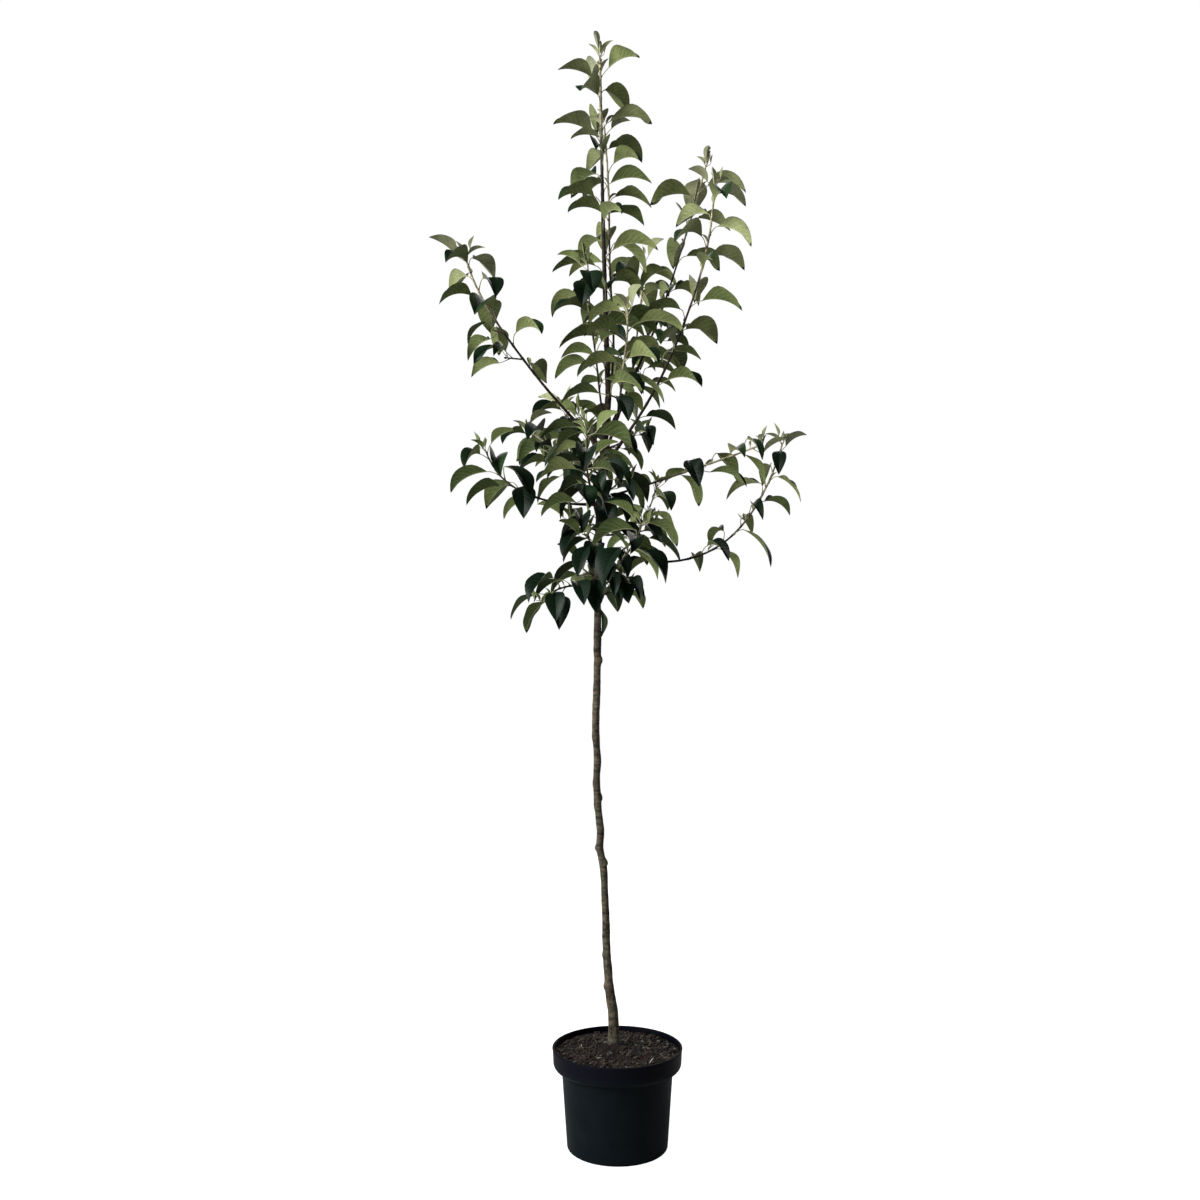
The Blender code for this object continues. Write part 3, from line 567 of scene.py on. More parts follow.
def grow_shoot(limb, crowd):
    """Spur twigs and leaves of one shoot. Leaves stand every 144 degrees round the stem,
    full size along the middle and small and upright at the tip. The lowest places with
    spurs carry a short twig with three leaves instead of one leaf."""
    rng = random.Random(limb.seed)
    count = limb.leaves
    places = leaf_places(limb)
    roots = limb_line(limb, places)
    along, first, _ = limb_frames(limb, places)
    radii = limb_radius(limb, places)
    start = rng.uniform(0, 360)
    leaves = []
    twigs = []
    for k in range(count):
        draw = drawn(rng)
        turn = math.radians(start + LEAF_TURN * k + rng.uniform(-14, 14))
        from_tip = count - 1 - k
        size = min(1 - TIP_LACK * math.exp(-from_tip / TIP_FADE), FIRST_SIZE + SIZE_GAIN * k)
        size *= rng.uniform(0.88, 1.08)
        hanging = rng.random() < limb.hang * HANGING_SHARE
        spur = k % 2 == 1 and k // 2 < limb.spurs
        spur_draws = [(drawn(rng), rng.uniform(0.62, 0.9), rng.random()) for _ in range(SPUR_LEAVES)]
        if not spur:
            leaf = fitted(limb, crowd, along[k], radii[k], lambda offset: leaf_at(
                roots[k], along[k], first[k], size, from_tip, draw, limb.hang, hanging,
                turn + offset))
            if leaf:
                leaves.append(leaf)
            continue
        radial = first[k] * math.cos(turn) + np.cross(along[k], first[k]) * math.sin(turn)
        way = unit(along[k] * SPUR_FORWARD + radial + UP * SPUR_UP)
        end = roots[k] + way * (SPUR_LENGTH + radii[k])
        twig = (roots[k], end)
        lift = clear_of_stem(way, along[k], radii[k])
        clear = (roots[k] + way * (lift + LEAF_ROOM), end + way * LEAF_ROOM)
        if crowd.meets(*twig_solid(clear, LEAF_ROOM)):
            continue
        crowd.add(*twig_solid(clear))
        twigs.append(twig)
        flat = unit(np.cross(way, UP))
        for j, (spur_draw, share, chance) in enumerate(spur_draws):
            root = roots[k] + (end - roots[k]) * (SPUR_LAST_LEAF - SPUR_LEAF_GAP * j)
            hanging = chance < limb.hang * HANGING_SHARE
            leaf = fitted(limb, crowd, way, SPUR_RADIUS, lambda offset: leaf_at(
                root, way, flat, share, count, spur_draw, limb.hang, hanging,
                turn + offset + math.radians(LEAF_TURN * j)))
            if leaf:
                leaves.append(leaf)
    return leaves, twigs


def twig_solid(twig, room=0.0):
    """A spur twig: a four-sided tapering peg."""
    first, second = square_to(unit(twig[1] - twig[0]))
    radii = (SPUR_RADIUS + room, SPUR_RADIUS * SPUR_TAPER + room)
    return tube(np.array(twig), first, second, radii, SPUR_SIDES)


def grow_tree():
    """Every shoot's leaves and twigs. The limbs are all there before the first leaf."""
    crowd = Crowd()
    crowd.add(*trunk_solid())
    for limb in LIMBS:
        crowd.add(*limb_solid(limb))
    return {limb.name: grow_shoot(limb, crowd) for limb in LIMBS}


# Shapes are gathered as arrays and put into one mesh a piece


class Heap:
    """Small shapes gathered into one piece: points, faces by their number of corners,
    the finish of each face, and the numbers that its materials read at each point."""

    def __init__(self, *numbers):
        self.points = []
        self.faces = {}
        self.numbers = {name: [] for name in numbers}
        self.count = 0

    def add(self, points, faces, finish=0, **numbers):
        """Faces is a list of arrays, one row a face; finish is one number, or one array
        for each array of faces. Each number is one value, or one for each point."""
        points = np.asarray(points, float)
        for k, group in enumerate(faces):
            group = np.asarray(group, int)
            chosen = finish if isinstance(finish, int) else finish[k]
            chosen = np.broadcast_to(np.asarray(chosen, int), (len(group),))
            self.faces.setdefault(group.shape[1], []).append((group + self.count, chosen))
        for name, values in self.numbers.items():
            given = np.asarray(numbers[name], float)
            values.append(np.broadcast_to(given, (len(points),) + given.shape[1:]))
        self.points.append(points)
        self.count += len(points)

    def tube(self, points, finish=0, **numbers):
        """Rings of points, one row a ring, joined and with both ends filled."""
        rows, sides = points.shape[:2]
        faces = [ring_faces(rows, sides), cap_faces(rows, sides)]
        self.add(points.reshape(-1, 3), faces, finish, **numbers)

    def drum(self, points, below, above):
        """Rings of points joined, and each end closed by a fan round one more point."""
        rows, sides = points.shape[:2]
        faces = [ring_faces(rows, sides), fan_faces(rows, sides)]
        self.add(np.vstack((points.reshape(-1, 3), below, above)), faces)

    def made(self, name, materials, smooth=True, crease=None, uv=None):
        """The gathered shapes as one mesh object at the origin. Edges sharper than the
        crease, in degrees, stay sharp, and the number named by uv becomes its map."""
        points = np.concatenate(self.points)
        corners, starts, finishes, total = [], [], [], 0
        for size, groups in sorted(self.faces.items()):
            rows = np.concatenate([rows for rows, _ in groups])
            corners.append(rows.ravel())
            starts.append(total + size * np.arange(len(rows)))
            finishes.append(np.concatenate([chosen for _, chosen in groups]))
            total += rows.size
        corners, starts = np.concatenate(corners), np.concatenate(starts)
        mesh = bpy.data.meshes.new(name)
        mesh.vertices.add(len(points))
        mesh.vertices.foreach_set("co", points.astype(np.float32).ravel())
        mesh.loops.add(len(corners))
        mesh.loops.foreach_set("vertex_index", corners.astype(np.int32))
        mesh.polygons.add(len(starts))
        mesh.polygons.foreach_set("loop_start", starts.astype(np.int32))
        mesh.polygons.foreach_set("material_index", np.concatenate(finishes).astype(np.int32))
        mesh.update(calc_edges=True)
        mesh.validate()
        for number, values in self.numbers.items():
            flat = np.concatenate(values)
            if number == uv:
                layer = mesh.uv_layers.new(name=number)
                layer.data.foreach_set("uv", flat[corners].astype(np.float32).ravel())
                continue
            field = mesh.attributes.new(number, "FLOAT", "POINT")
            field.data.foreach_set("value", flat.astype(np.float32))
        if smooth:
            mesh.shade_smooth()
        if crease:
            mesh.set_sharp_from_angle(angle=math.radians(crease))
        for material in materials:
            mesh.materials.append(material)
        thing = bpy.data.objects.new(name, mesh)
        bpy.context.scene.collection.objects.link(thing)
        return thing


def lumps(points, size, seed):
    """Smooth random heights from -1 to 1: a random value at each corner of a lattice of
    cubes, blended between the corners by 3f^2 - 2f^3 of the way f along each axis."""
    place = np.asarray(points, float) / size
    cell = np.floor(place).astype(np.int64)
    way = place - cell
    way = way * way * (3 - 2 * way)
    total = np.zeros(place.shape[:-1])
    for corner in np.ndindex(2, 2, 2):
        at = cell + corner
        mixed = (at[..., 0] * 73856093) ^ (at[..., 1] * 19349663) ^ (at[..., 2] * 83492791)
        mixed = (mixed ^ (seed * 2654435761)) & 0xFFFFFFFF
        mixed = ((mixed ^ (mixed >> 15)) * 2246822519) & 0xFFFFFFFF
        mixed = ((mixed ^ (mixed >> 13)) * 3266489917) & 0xFFFFFFFF
        value = ((mixed ^ (mixed >> 16)) & 0xFFFF) / 32767.5 - 1
        share = np.where(np.array(corner) == 1, way, 1 - way).prod(axis=-1)
        total += value * share
    return total


# Bark

BARK_ROW = 0.0016
BARK_SIDES = 56
SUNK = 0.004
# Old bud and branch scars on the trunk: height, the compass heading they face, how far
# they stand out, and their half height and half width
KNOBS = (
    (0.577, 200, 0.0034, 0.0055, 0.0045),
    (0.5495, -8, 0.0042, 0.0060, 0.0048),
    (0.303, 188, 0.0028, 0.0060, 0.0055),
    (0.336, 15, 0.0020, 0.0130, 0.0060),
    (0.366, 184, 0.0018, 0.0050, 0.0050),
    (0.677, -5, 0.0036, 0.0060, 0.0046),
    (0.9485, -6, 0.0044, 0.0065, 0.0048),
    (0.704, 188, 0.0018, 0.007, 0.005),
    (0.659, 188, 0.0014, 0.008, 0.005),
    (0.973, 185, 0.0014, 0.007, 0.005),
    (0.892, 185, 0.0012, 0.008, 0.005),
    (0.796, 175, 0.0010, 0.006, 0.004),
    (0.855, -60, 0.0009, 0.005, 0.004),
    (0.985, -15, 0.0012, 0.022, 0.0045),
    (1.030, -20, 0.0013, 0.016, 0.0045),
    (0.430, -110, 0.0009, 0.005, 0.004),
    (0.640, 80, 0.0011, 0.006, 0.0045),
    (0.760, 120, 0.0010, 0.006, 0.0045),
    (0.905, 60, 0.0010, 0.006, 0.0045),
    (0.470, 130, 0.0010, 0.006, 0.0045),
)
# The pit in the middle of a knob: its depth as a share of the knob's, and its sharpness
PIT_DEPTH = 0.35
PIT_POWER = 7
# The collar under a limb: how far it stands out, its half height and half width, and
# how far above the limb's foot its middle is
COLLAR = (0.0016, 0.009, 0.0065)
COLLAR_LIFT = 0.003
# Rings left by bud scales: height, depth of the groove, half height
RINGS = (
    (0.5413, 0.0007, 0.0016),
    (0.4981, 0.0005, 0.0014),
    (0.4177, 0.0005, 0.0014),
    (0.636, 0.0004, 0.0012),
    (0.742, 0.0004, 0.0012),
    (0.862, 0.0004, 0.0012),
    (1.008, 0.0004, 0.0012),
    (1.105, 0.0004, 0.0012),
)
# How far a ring tilts, how much the way of it turns with the height, and as shares of
# its sizes: the groove, the lips' rise and spread, and how dark the groove is
RING_TILT = 0.0012
RING_TURN = 40
GROOVE_DEPTH = 1.3
LIP_RISE = 0.8
LIP_SPREAD = 2.6
GROOVE_SCAR = 0.95
# Lumps of the bark: how high, how large, how far flattened along the stem, and the seed;
# the rootstock has coarser ones that end at the graft
BARK_LUMPS = ((0.00055, 0.0075, 0.30, 9), (0.00030, 0.0045, 0.35, 3), (0.00016, 0.0019, 0.25, 5))
ROOTSTOCK_LUMPS = (0.0007, 0.0080, 0.5, 7)
GRAFT_HEIGHT = 0.330
GRAFT_FADE = 0.05
# The bark is dark at the foot, over a height, and young from another height up
FOOT_DARKENING = 0.8
FOOT_DARKENING_HEIGHT = 0.011
YOUNGER_FROM = 1.0
TRUNK_YOUTH = 0.30


def trunk_skin(heap):
    """The trunk's bark. At height z and heading a the radius is the source's taper and
    flare, plus the knobs, each size * exp(-(dz/half height)^2 - (r da/half width)^2) less
    a pit of that form to the 7th power, plus a collar of the same form under every limb,
    less the rings, plus fine lumps drawn out along the stem."""
    heights = np.append(np.arange(SOIL_HEIGHT - SUNK, FORK_HEIGHT, BARK_ROW), FORK_HEIGHT)
    angles = np.linspace(0, 2 * math.pi, BARK_SIDES, endpoint=False)
    z, a = np.meshgrid(heights, angles, indexing="ij")
    above = np.maximum(z - SOIL_HEIGHT, 0)
    plain = np.interp(z, *np.array(TRUNK_TAPER).T) + FLARE * np.exp(-above / FLARE_HEIGHT)
    radius = plain.copy()
    scars = np.zeros_like(z)
    on_trunk = [limb for limb in LIMBS if limb.height < FORK_HEIGHT]
    collars = tuple((limb.height + COLLAR_LIFT, limb.heading, *COLLAR) for limb in on_trunk)
    for height, heading, size, tall, wide in KNOBS + collars:
        turn = np.angle(np.exp(1j * (a - math.radians(heading))))
        bump = np.exp(-(((z - height) / tall) ** 2) - (plain * turn / wide) ** 2)
        pit = bump**PIT_POWER
        radius += size * (bump - PIT_DEPTH * pit)
        scars = np.maximum(scars, pit)
    for height, depth, tall in RINGS:
        away = (z + RING_TILT * np.sin(a + RING_TURN * height) - height) / tall
        groove = np.exp(-(away**2))
        lips = np.exp(-((away / LIP_SPREAD) ** 2))
        radius += depth * (LIP_RISE * lips - GROOVE_DEPTH * groove)
        scars = np.maximum(scars, GROOVE_SCAR * groove)
    spot = np.stack((np.cos(a) * plain, np.sin(a) * plain, z), axis=-1)
    for height, size, flat, seed in BARK_LUMPS:
        radius += height * lumps(spot * (1, 1, flat), size, seed)
    height, size, flat, seed = ROOTSTOCK_LUMPS
    rootstock = np.clip((GRAFT_HEIGHT - z) / GRAFT_FADE, 0, 1)
    radius += rootstock * height * lumps(spot * (1, 1, flat), size, seed)
    # The bark gets darker towards the compost; this rides in the same channel as the scars
    scars = np.maximum(scars, FOOT_DARKENING * np.exp(-above / FOOT_DARKENING_HEIGHT))
    youth = TRUNK_YOUTH * np.clip((z - YOUNGER_FROM) / (FORK_HEIGHT - YOUNGER_FROM), 0, 1)
    line = trunk_centre(heights)
    line[:, 2] = heights
    points = rings(line, *LEVEL, radius, BARK_SIDES)
    heap.tube(points, youth=youth.ravel(), scar=scars.ravel())


SKIN_STEP = 0.0042
SKIN_SIDES = 10
# How much thinner than the source's a limb on the trunk is, and how soon past its foot
SLIMMER = 0.26
SLIMMER_BY = 6
# The swelling at each leaf
NODE_SWELL = 0.0005
NODE_LENGTH = 0.0028
# Lumps of a limb: height as a share of its radius, size and seed
LIMB_LUMPS = ((0.05, 0.007, 11), (0.03, 0.003, 13))
# The end's round, and the least that it leaves of the radius, squared
TIP_ROUND = 0.002
TIP_LEAST = 0.06
# Felt at the tip, how fast it starts, and its share on a limb in the shade
FELT_LENGTH = 0.26
FELT_GAIN = 1.5
FELT_THICK = 0.0005
SHADE_FELT = 0.35
# Youth of the bark at a limb's foot, its gain on the way to a share of its length and
# with felt, and that of a twig
LIMB_YOUTH = 0.34
YOUTH_GAIN = 0.26
YOUTH_FULL = 0.625
FELT_YOUTH = 0.40
TWIG_YOUTH = 0.5


def limb_skin(heap, limb):
    """One limb from the trunk's middle to its tip: rings on the source's line, whose
    radius is a little less than the source's, plus a swelling at each leaf, felt at the
    tip and small lumps, and which closes over the tip in a half round."""
    length = limb_length(limb)
    t = np.linspace(0, 1, round(length / SKIN_STEP))
    line = limb_line(limb, t)
    _, first, second = limb_frames(limb, t)
    slimmer = SLIMMER * np.clip(SLIMMER_BY * t, 0, 1) * (limb.height < FORK_HEIGHT)
    radius = limb_radius(limb, t) * (1 - slimmer)
    for place in leaf_places(limb):
        radius = radius + NODE_SWELL * np.exp(-(((t - place) * length / NODE_LENGTH) ** 2))
    spot = rings(line, first, second, radius, SKIN_SIDES)
    uneven = 1 + sum(share * lumps(spot, size, seed) for share, size, seed in LIMB_LUMPS)
    to_tip = (1 - t) * length
    felt = np.clip(FELT_GAIN * (1 - to_tip / FELT_LENGTH), 0, 1)
    felt = felt * felt * (3 - 2 * felt) * (1.0 if felted(limb) else SHADE_FELT)
    youth = LIMB_YOUTH + YOUTH_GAIN * np.clip(t / YOUTH_FULL, 0, 1) + FELT_YOUTH * felt
    radius = (radius + FELT_THICK * felt) * np.sqrt(np.clip(to_tip / TIP_ROUND, TIP_LEAST, 1))
    points = rings(line, first, second, radius[:, None] * uneven, SKIN_SIDES)
    heap.tube(points, youth=np.repeat(youth, SKIN_SIDES), scar=0.0)


TWIG_ROWS = 12
TWIG_SIDES = 9
TWIG_TAPER = 0.15
TWIG_RINGS = 0.14


def twig_skin(heap, twig):
    """A spur twig: a tapering peg with five rings of bud scars, its radius being
    1 + 0.14 cos(10 pi t) times the taper, rounded off at its end."""
    root, end = twig
    t = np.linspace(0, 1, TWIG_ROWS)
    radius = SPUR_RADIUS * (1 - TWIG_TAPER * t) * (1 + TWIG_RINGS * np.cos(10 * math.pi * t))
    radius = radius * np.sqrt(np.clip((1.02 - t) / 0.08, 0.05, 1))
    line = root + (end - root) * t[:, None]
    points = rings(line, *square_to(unit(end - root)), radius, TWIG_SIDES)
    heap.tube(points, youth=TWIG_YOUTH, scar=0.0)


BUD_ROWS = 5
BUD_SIDES = 6
BUD_SPAN = (0.06, 0.97)
BUD_WIDTH = 0.36


def bud_skin(heap, foot, way, length):
    """A bud: rings of radius 0.36 length sin(pi t^0.75) along its way, closed to a
    blunt point."""
    t = np.linspace(*BUD_SPAN, BUD_ROWS)
    radius = BUD_WIDTH * length * np.sin(math.pi * t**0.75)
    line = foot + way * (t * length)[:, None]
    heap.tube(rings(line, *square_to(way), radius, BUD_SIDES))


# Least and greatest length of a bud in an axil and at a spur's end, how deep the latter
# sits, and the share of an axil's bud next to the tip
AXIL_BUD = (0.0036, 0.005)
TIP_BUD = (0.006, 0.008)
TIP_BUD_SUNK = 0.001
YOUNG_BUD = 0.6
# An axil's bud: how far past the stalk, how deep against the bark, and how far it leans
BUD_PAST = 0.0022
BUD_SEAT = 0.75
BUD_LEAN = 0.42
# Past this distance from its limb a leaf stands on a spur and has no bud of its own
ON_LIMB = 0.004


def stem_beside(limb, point):
    """Where a point stands beside a limb: how far from its line, and the limb's
    direction and radius there."""
    t = np.linspace(limb.bare, 1, 160)
    away = np.linalg.norm(limb_line(limb, t) - point, axis=1)
    place = float(t[away.argmin()])
    return away.min(), limb_frames(limb, [place])[0][0], float(limb_radius(limb, place))


def axil_bud(heap, leaf, limb, rng):
    """The bud in a leaf's axil, close against the limb just past the stalk."""
    size = rng.uniform(*AXIL_BUD) * (YOUNG_BUD if leaf.from_tip < 3 else 1.0)
    away, along, radius = stem_beside(limb, leaf.root)
    if away > ON_LIMB:
        return
    way = unit(leaf.base - leaf.root)
    out = unit(way - along * float(way @ along))
    foot = leaf.root + along * BUD_PAST + out * (radius * BUD_SEAT)
    bud_skin(heap, foot, unit(along + out * BUD_LEAN), size)


# Leaves

BLADE_STEPS = 12
# The ring of eight points across a blade: share of the half width, and side
RING_SHARE = np.array((-1.0, -0.5, 0.0, 0.5, 1.0, 0.5, 0.0, -0.5))
RING_SIDE = np.array((0, 1, 1, 1, 0, -1, -1, -1))
BLADE_THICK = 0.00038
NARROWEST = 0.0007
BASE_TAPER = 0.5
BASE_REACH = 0.17
BULGE = 0.34
# How far the two halves' waves are out of step, as a share of a wave
WAVE_SHIFT = 0.35
STALK_STEPS = 4
STALK_SIDES = 5
# Radius of a stalk at each step, then of the midrib at its start and what it loses to
# the tip, as shares of the petiole's; the least of it that the smallest leaf has
STALK_TAPER = (1.5, 0.95, 0.82, 0.85)
RIB_TAPER = (0.80, 0.62)
STALK_LEAST = 0.55
STALK_ARRIVES = 0.38
RIB_SUNK = 0.65


def blade_frames(leaf, looks):
    """The midrib's points, sides and normals, turned about the midrib by the leaf's
    twist times u cubed."""
    points, sides, normals = blade_line(leaf, BLADE_STEPS)
    u = np.linspace(0, 1, BLADE_STEPS + 1)
    turn = np.radians(looks.twist * u**3)[:, None]
    return (
        points,
        sides * np.cos(turn) + normals * np.sin(turn),
        normals * np.cos(turn) - sides * np.sin(turn),
    )


def blade_faces():
    """A blade's faces, and the side that each one shows, 0 for the upper: triangles
    between its rings and at its tip, and the quads and triangles that close its base.
    The upper and the under side split along the same slant, so that they stay apart."""
    corner = np.arange(8)
    after = (corner + 1) % 8
    ring = 8 * np.arange(BLADE_STEPS - 1)[:, None]
    a, b = ring + corner, ring + after
    upper = np.stack((a, b + 8, b, a, a + 8, b + 8), axis=-1)
    under = np.stack((a, a + 8, b, b, a + 8, b + 8), axis=-1)
    body = np.where((corner < 4)[:, None], upper, under).reshape(-1, 3)
    last = 8 * (BLADE_STEPS - 1)
    tip = np.stack((last + after, last + corner, np.full(8, last + 8)), axis=1)
    faces = (body, tip, ((1, 2, 6, 7), (2, 3, 5, 6)), ((0, 1, 7), (3, 4, 5)))
    halves = np.tile(np.repeat((corner >= 4).astype(int), 2), BLADE_STEPS - 1)
    return faces, (halves, np.zeros(8, int), np.ones(2, int), np.ones(2, int))


BLADE_FACES, BLADE_SIDES = blade_faces()


def blade_skin(heap, leaf, looks):
    """A leaf's blade. At u along the midrib and v across it the point is the midrib,
    plus v times the half width along the side, narrowed by its point times u^4 and by
    the base taper times exp(-(u / reach)^2), and folded up by the fold angle, plus a
    bulge of |v| (1 - |v|) on each half, plus a wave of v^2 sin(2 pi (waves u + phase))
    on the margin, and half the thickness out of either side."""
    points, sides, normals = blade_frames(leaf, looks)
    u = np.linspace(0, 1, BLADE_STEPS + 1)[:-1, None]
    v = RING_SHARE[None, :]
    half = LEAF_WIDTH * leaf.size * looks.width * blade_half_width(u) * (1 - looks.point * u**4)
    half = half * (1 - BASE_TAPER * np.exp(-((u / BASE_REACH) ** 2)))
    half = np.maximum(half, NARROWEST)
    fold = np.radians(leaf.fold * (1 - FOLD_EASE * u))
    turns = looks.waves * u + looks.phase + WAVE_SHIFT * (v > 0)
    wave = looks.wave * np.sin(2 * math.pi * turns)
    out = v * half * np.cos(fold)
    up = np.abs(v) * half * np.sin(fold)
    up = up + half * (BULGE * looks.bulge * np.abs(v) * (1 - np.abs(v)) + wave * v * v)
    thick = RING_SIDE[None, :] * BLADE_THICK / 2
    out = out - np.sign(v) * np.sin(fold) * thick
    up = up + np.where(v == 0, 1, np.cos(fold)) * thick
    body = points[:-1, None] + sides[:-1, None] * out[..., None] + normals[:-1, None] * up[..., None]
    across = np.tile(v * 0.5 + 0.5, (BLADE_STEPS, 1))
    flat = np.stack((np.broadcast_to(u, across.shape), across), axis=-1).reshape(-1, 2)
    finish = np.array((looks.upper, looks.under))
    heap.add(
        np.vstack((body.reshape(-1, 3), points[-1:])),
        BLADE_FACES,
        [finish[side] for side in BLADE_SIDES],
        leaf_map=np.vstack((flat, (1.0, 0.5))),
    )


def stalk_skin(heap, leaf, looks):
    """A leaf's stalk and midrib in one tube: a quadratic Bezier from the stem to the
    blade, which arrives along the midrib, and then the midrib's underside."""
    points, sides, normals = blade_frames(leaf, looks)
    length = float(np.linalg.norm(leaf.base - leaf.root))
    control = leaf.base - unit(points[1] - points[0]) * STALK_ARRIVES * length
    t = np.linspace(0, 1, STALK_STEPS + 1)[:-1, None]
    stalk = leaf.root * (1 - t) ** 2 + control * 2 * t * (1 - t) + leaf.base * t * t
    path = np.vstack((stalk, points[:-1]))
    rib = RIB_TAPER[0] - RIB_TAPER[1] * np.linspace(0, 1, BLADE_STEPS)
    thick = PETIOLE_RADIUS * np.concatenate((STALK_TAPER, rib))
    thick = thick * (STALK_LEAST + (1 - STALK_LEAST) * leaf.size)
    along = units(np.gradient(path, axis=0))
    first = np.vstack((np.tile(sides[0], (STALK_STEPS, 1)), sides[:-1]))
    first = units(first - along * (first * along).sum(1)[:, None])
    path[STALK_STEPS:] -= normals[:-1] * RIB_SUNK * thick[STALK_STEPS:, None]
    heap.tube(rings(path, first, np.cross(along, first), thick, STALK_SIDES), looks.stalk)


def leaf_skins(blades, stalks, leaf, looks):
    """A whole leaf, its blade in one heap and its stalk in the other."""
    blade_skin(blades, leaf, looks)
    stalk_skin(stalks, leaf, looks)


# How one leaf looks: its twist, wave, bulge and width, how far its tip is drawn out,
# and the numbers of its finishes
Looks = namedtuple("Looks", "twist wave waves phase bulge width point upper under stalk")
LOOKS_SEED = 90
# The topmost leaves of the two leaders, as shares of the source's size
APEX_SIZES = (0.8, 0.7)
# Numbers of finishes: the first under side, and a young leaf's in the shade and in light
FIRST_UNDER = 3
YOUNG_SHADED = 5
YOUNG_LIT = 8
# Light on a leaf from which its under side takes the next paler finish
UNDER_STEPS = (0.04, 0.3, 0.58, 0.88)
# Where the light reaches: past a reach above a low height, and anywhere above a top
# one; and the height below which a limb ends low
FELT_REACH = 0.15
FELT_LOW = 1.36
FELT_TOP = 1.85
LOW_TOP = 1.5
# How many leaves curl over, and by how many degrees they and the others twist
CURLED_SHARE = 0.16
CURLED_TWIST = (60, 95)
PLAIN_TWIST = (0, 26)
# Light on a leaf at the crown's foot, what the crown's height adds, and the light that
# chance and the way out to the right give or take
LIT_FOOT = 0.12
LIT_RISE = 0.82
LIT_CHANCE = 0.36
LIT_RIGHT = 0.9
# The crown's foot and span, how far out a leaf is clear of its shade, from where it is
# far to the right, and by what share low leaves there are slimmer, over what distance
CROWN_FOOT = 1.1
CROWN_SPAN = 0.95
SHADE_REACH = 0.16
RIGHT_FROM = 0.1
SLIM_OVER = 0.08
SLIM_SHARE = 0.26


def felted(limb):
    """Whether a limb reaches the light: there its young leaves are pale with felt, and in the shade they
    take a darker finish, which is painted shade.
    """
    end = limb.height + limb.rise
    return end > FELT_TOP or (end > FELT_LOW and limb.reach > FELT_REACH)


def limb_low(limb):
    """Whether a limb ends below the crown's upper half."""
    return limb is not None and limb.height + limb.rise < LOW_TOP


def young_looks(rng, limb):
    """Draws for a felted leaflet, narrower than a full leaf and nearly straight."""
    finish = YOUNG_LIT if felted(limb) else YOUNG_SHADED
    return Looks(
        twist=rng.uniform(-20, 20),
        wave=rng.uniform(0.0, 0.04),
        waves=1.0,
        phase=rng.random(),
        bulge=rng.uniform(0.3, 0.8),
        width=rng.uniform(0.58, 0.78),
        point=0.6,
        upper=finish,
        under=finish,
        stalk=1,
    )


def leaf_looks(rng, leaf, limb):
    """Draws for one leaf. The light on it goes by its height, by how far it stands from
    the trunk's line and to the right, and by chance, and sets the finish of either side,
    so that lighter and darker finishes paint light and shade into its colour. Leaves next
    to a tip are young; those low on the right are slimmer."""
    twist_range = CURLED_TWIST if rng.random() < CURLED_SHARE else PLAIN_TWIST
    twist = rng.choice((-1, 1)) * rng.uniform(*twist_range)
    height = float(leaf.base[2])
    out = float(np.linalg.norm(leaf.base[:2] - trunk_centre(height)[0, :2]))
    right = float(leaf.base[0]) - RIGHT_FROM
    rise = float(np.clip((height - CROWN_FOOT) / CROWN_SPAN, 0, 1))
    lit = LIT_FOOT + LIT_RISE * rise**1.25
    lit += (1 - 0.8 * rise) * float(np.clip(out / SHADE_REACH - 1, -0.3, 0.2))
    lit += rng.uniform(-LIT_CHANCE, LIT_CHANCE) * (1 - 0.4 * rise)
    lit += LIT_RIGHT * float(np.clip(right, 0, 0.3))
    young = leaf.from_tip < 2 or (leaf.from_tip < 3 and rng.random() < 0.5)
    if leaf.from_tip == 0:
        return young_looks(rng, limb)
    under = FIRST_UNDER + int(np.searchsorted(UNDER_STEPS, lit))
    if young:
        under = YOUNG_LIT if felted(limb) else YOUNG_SHADED
    upper = int(np.clip((lit + rng.uniform(-0.3, 0.3)) * FIRST_UNDER, 0, FIRST_UNDER - 0.01))
    slim = 1 - SLIM_SHARE * float(np.clip(right / SLIM_OVER, 0, 1)) * limb_low(limb)
    return Looks(
        twist=twist,
        wave=rng.uniform(0.03, 0.14),
        waves=rng.uniform(0.9, 1.9),
        phase=rng.random(),
        bulge=rng.uniform(0.5, 1.3),
        width=(rng.uniform(0.76, 0.98) + 0.1 * rise) * slim,
        point=rng.uniform(0.2, 0.5),
        upper=upper,
        under=under,
        stalk=1 if young else 0,
    )


# Leaflets stand in a share of the axils of this many upper leaves: how far past the
# leaf's stalk, how far they lean out, and how far off the bark
LEAFLET_SPAN = 14
LEAFLET_SHARE = 0.45
LEAFLET_PAST = 0.005
LEAFLET_LEAN = 0.6
LEAFLET_STALK = 0.009
# Those round the tip: how far down each starts below the last, how far they lean out,
# and the stalk and size of the first with what each next one gains
TIP_LEAFLETS = 3
TIP_STEP = 0.004
TIP_LEAN = 0.5
TIP_STALK = (0.006, 0.003)
TIP_SIZE = (0.25, 0.08)


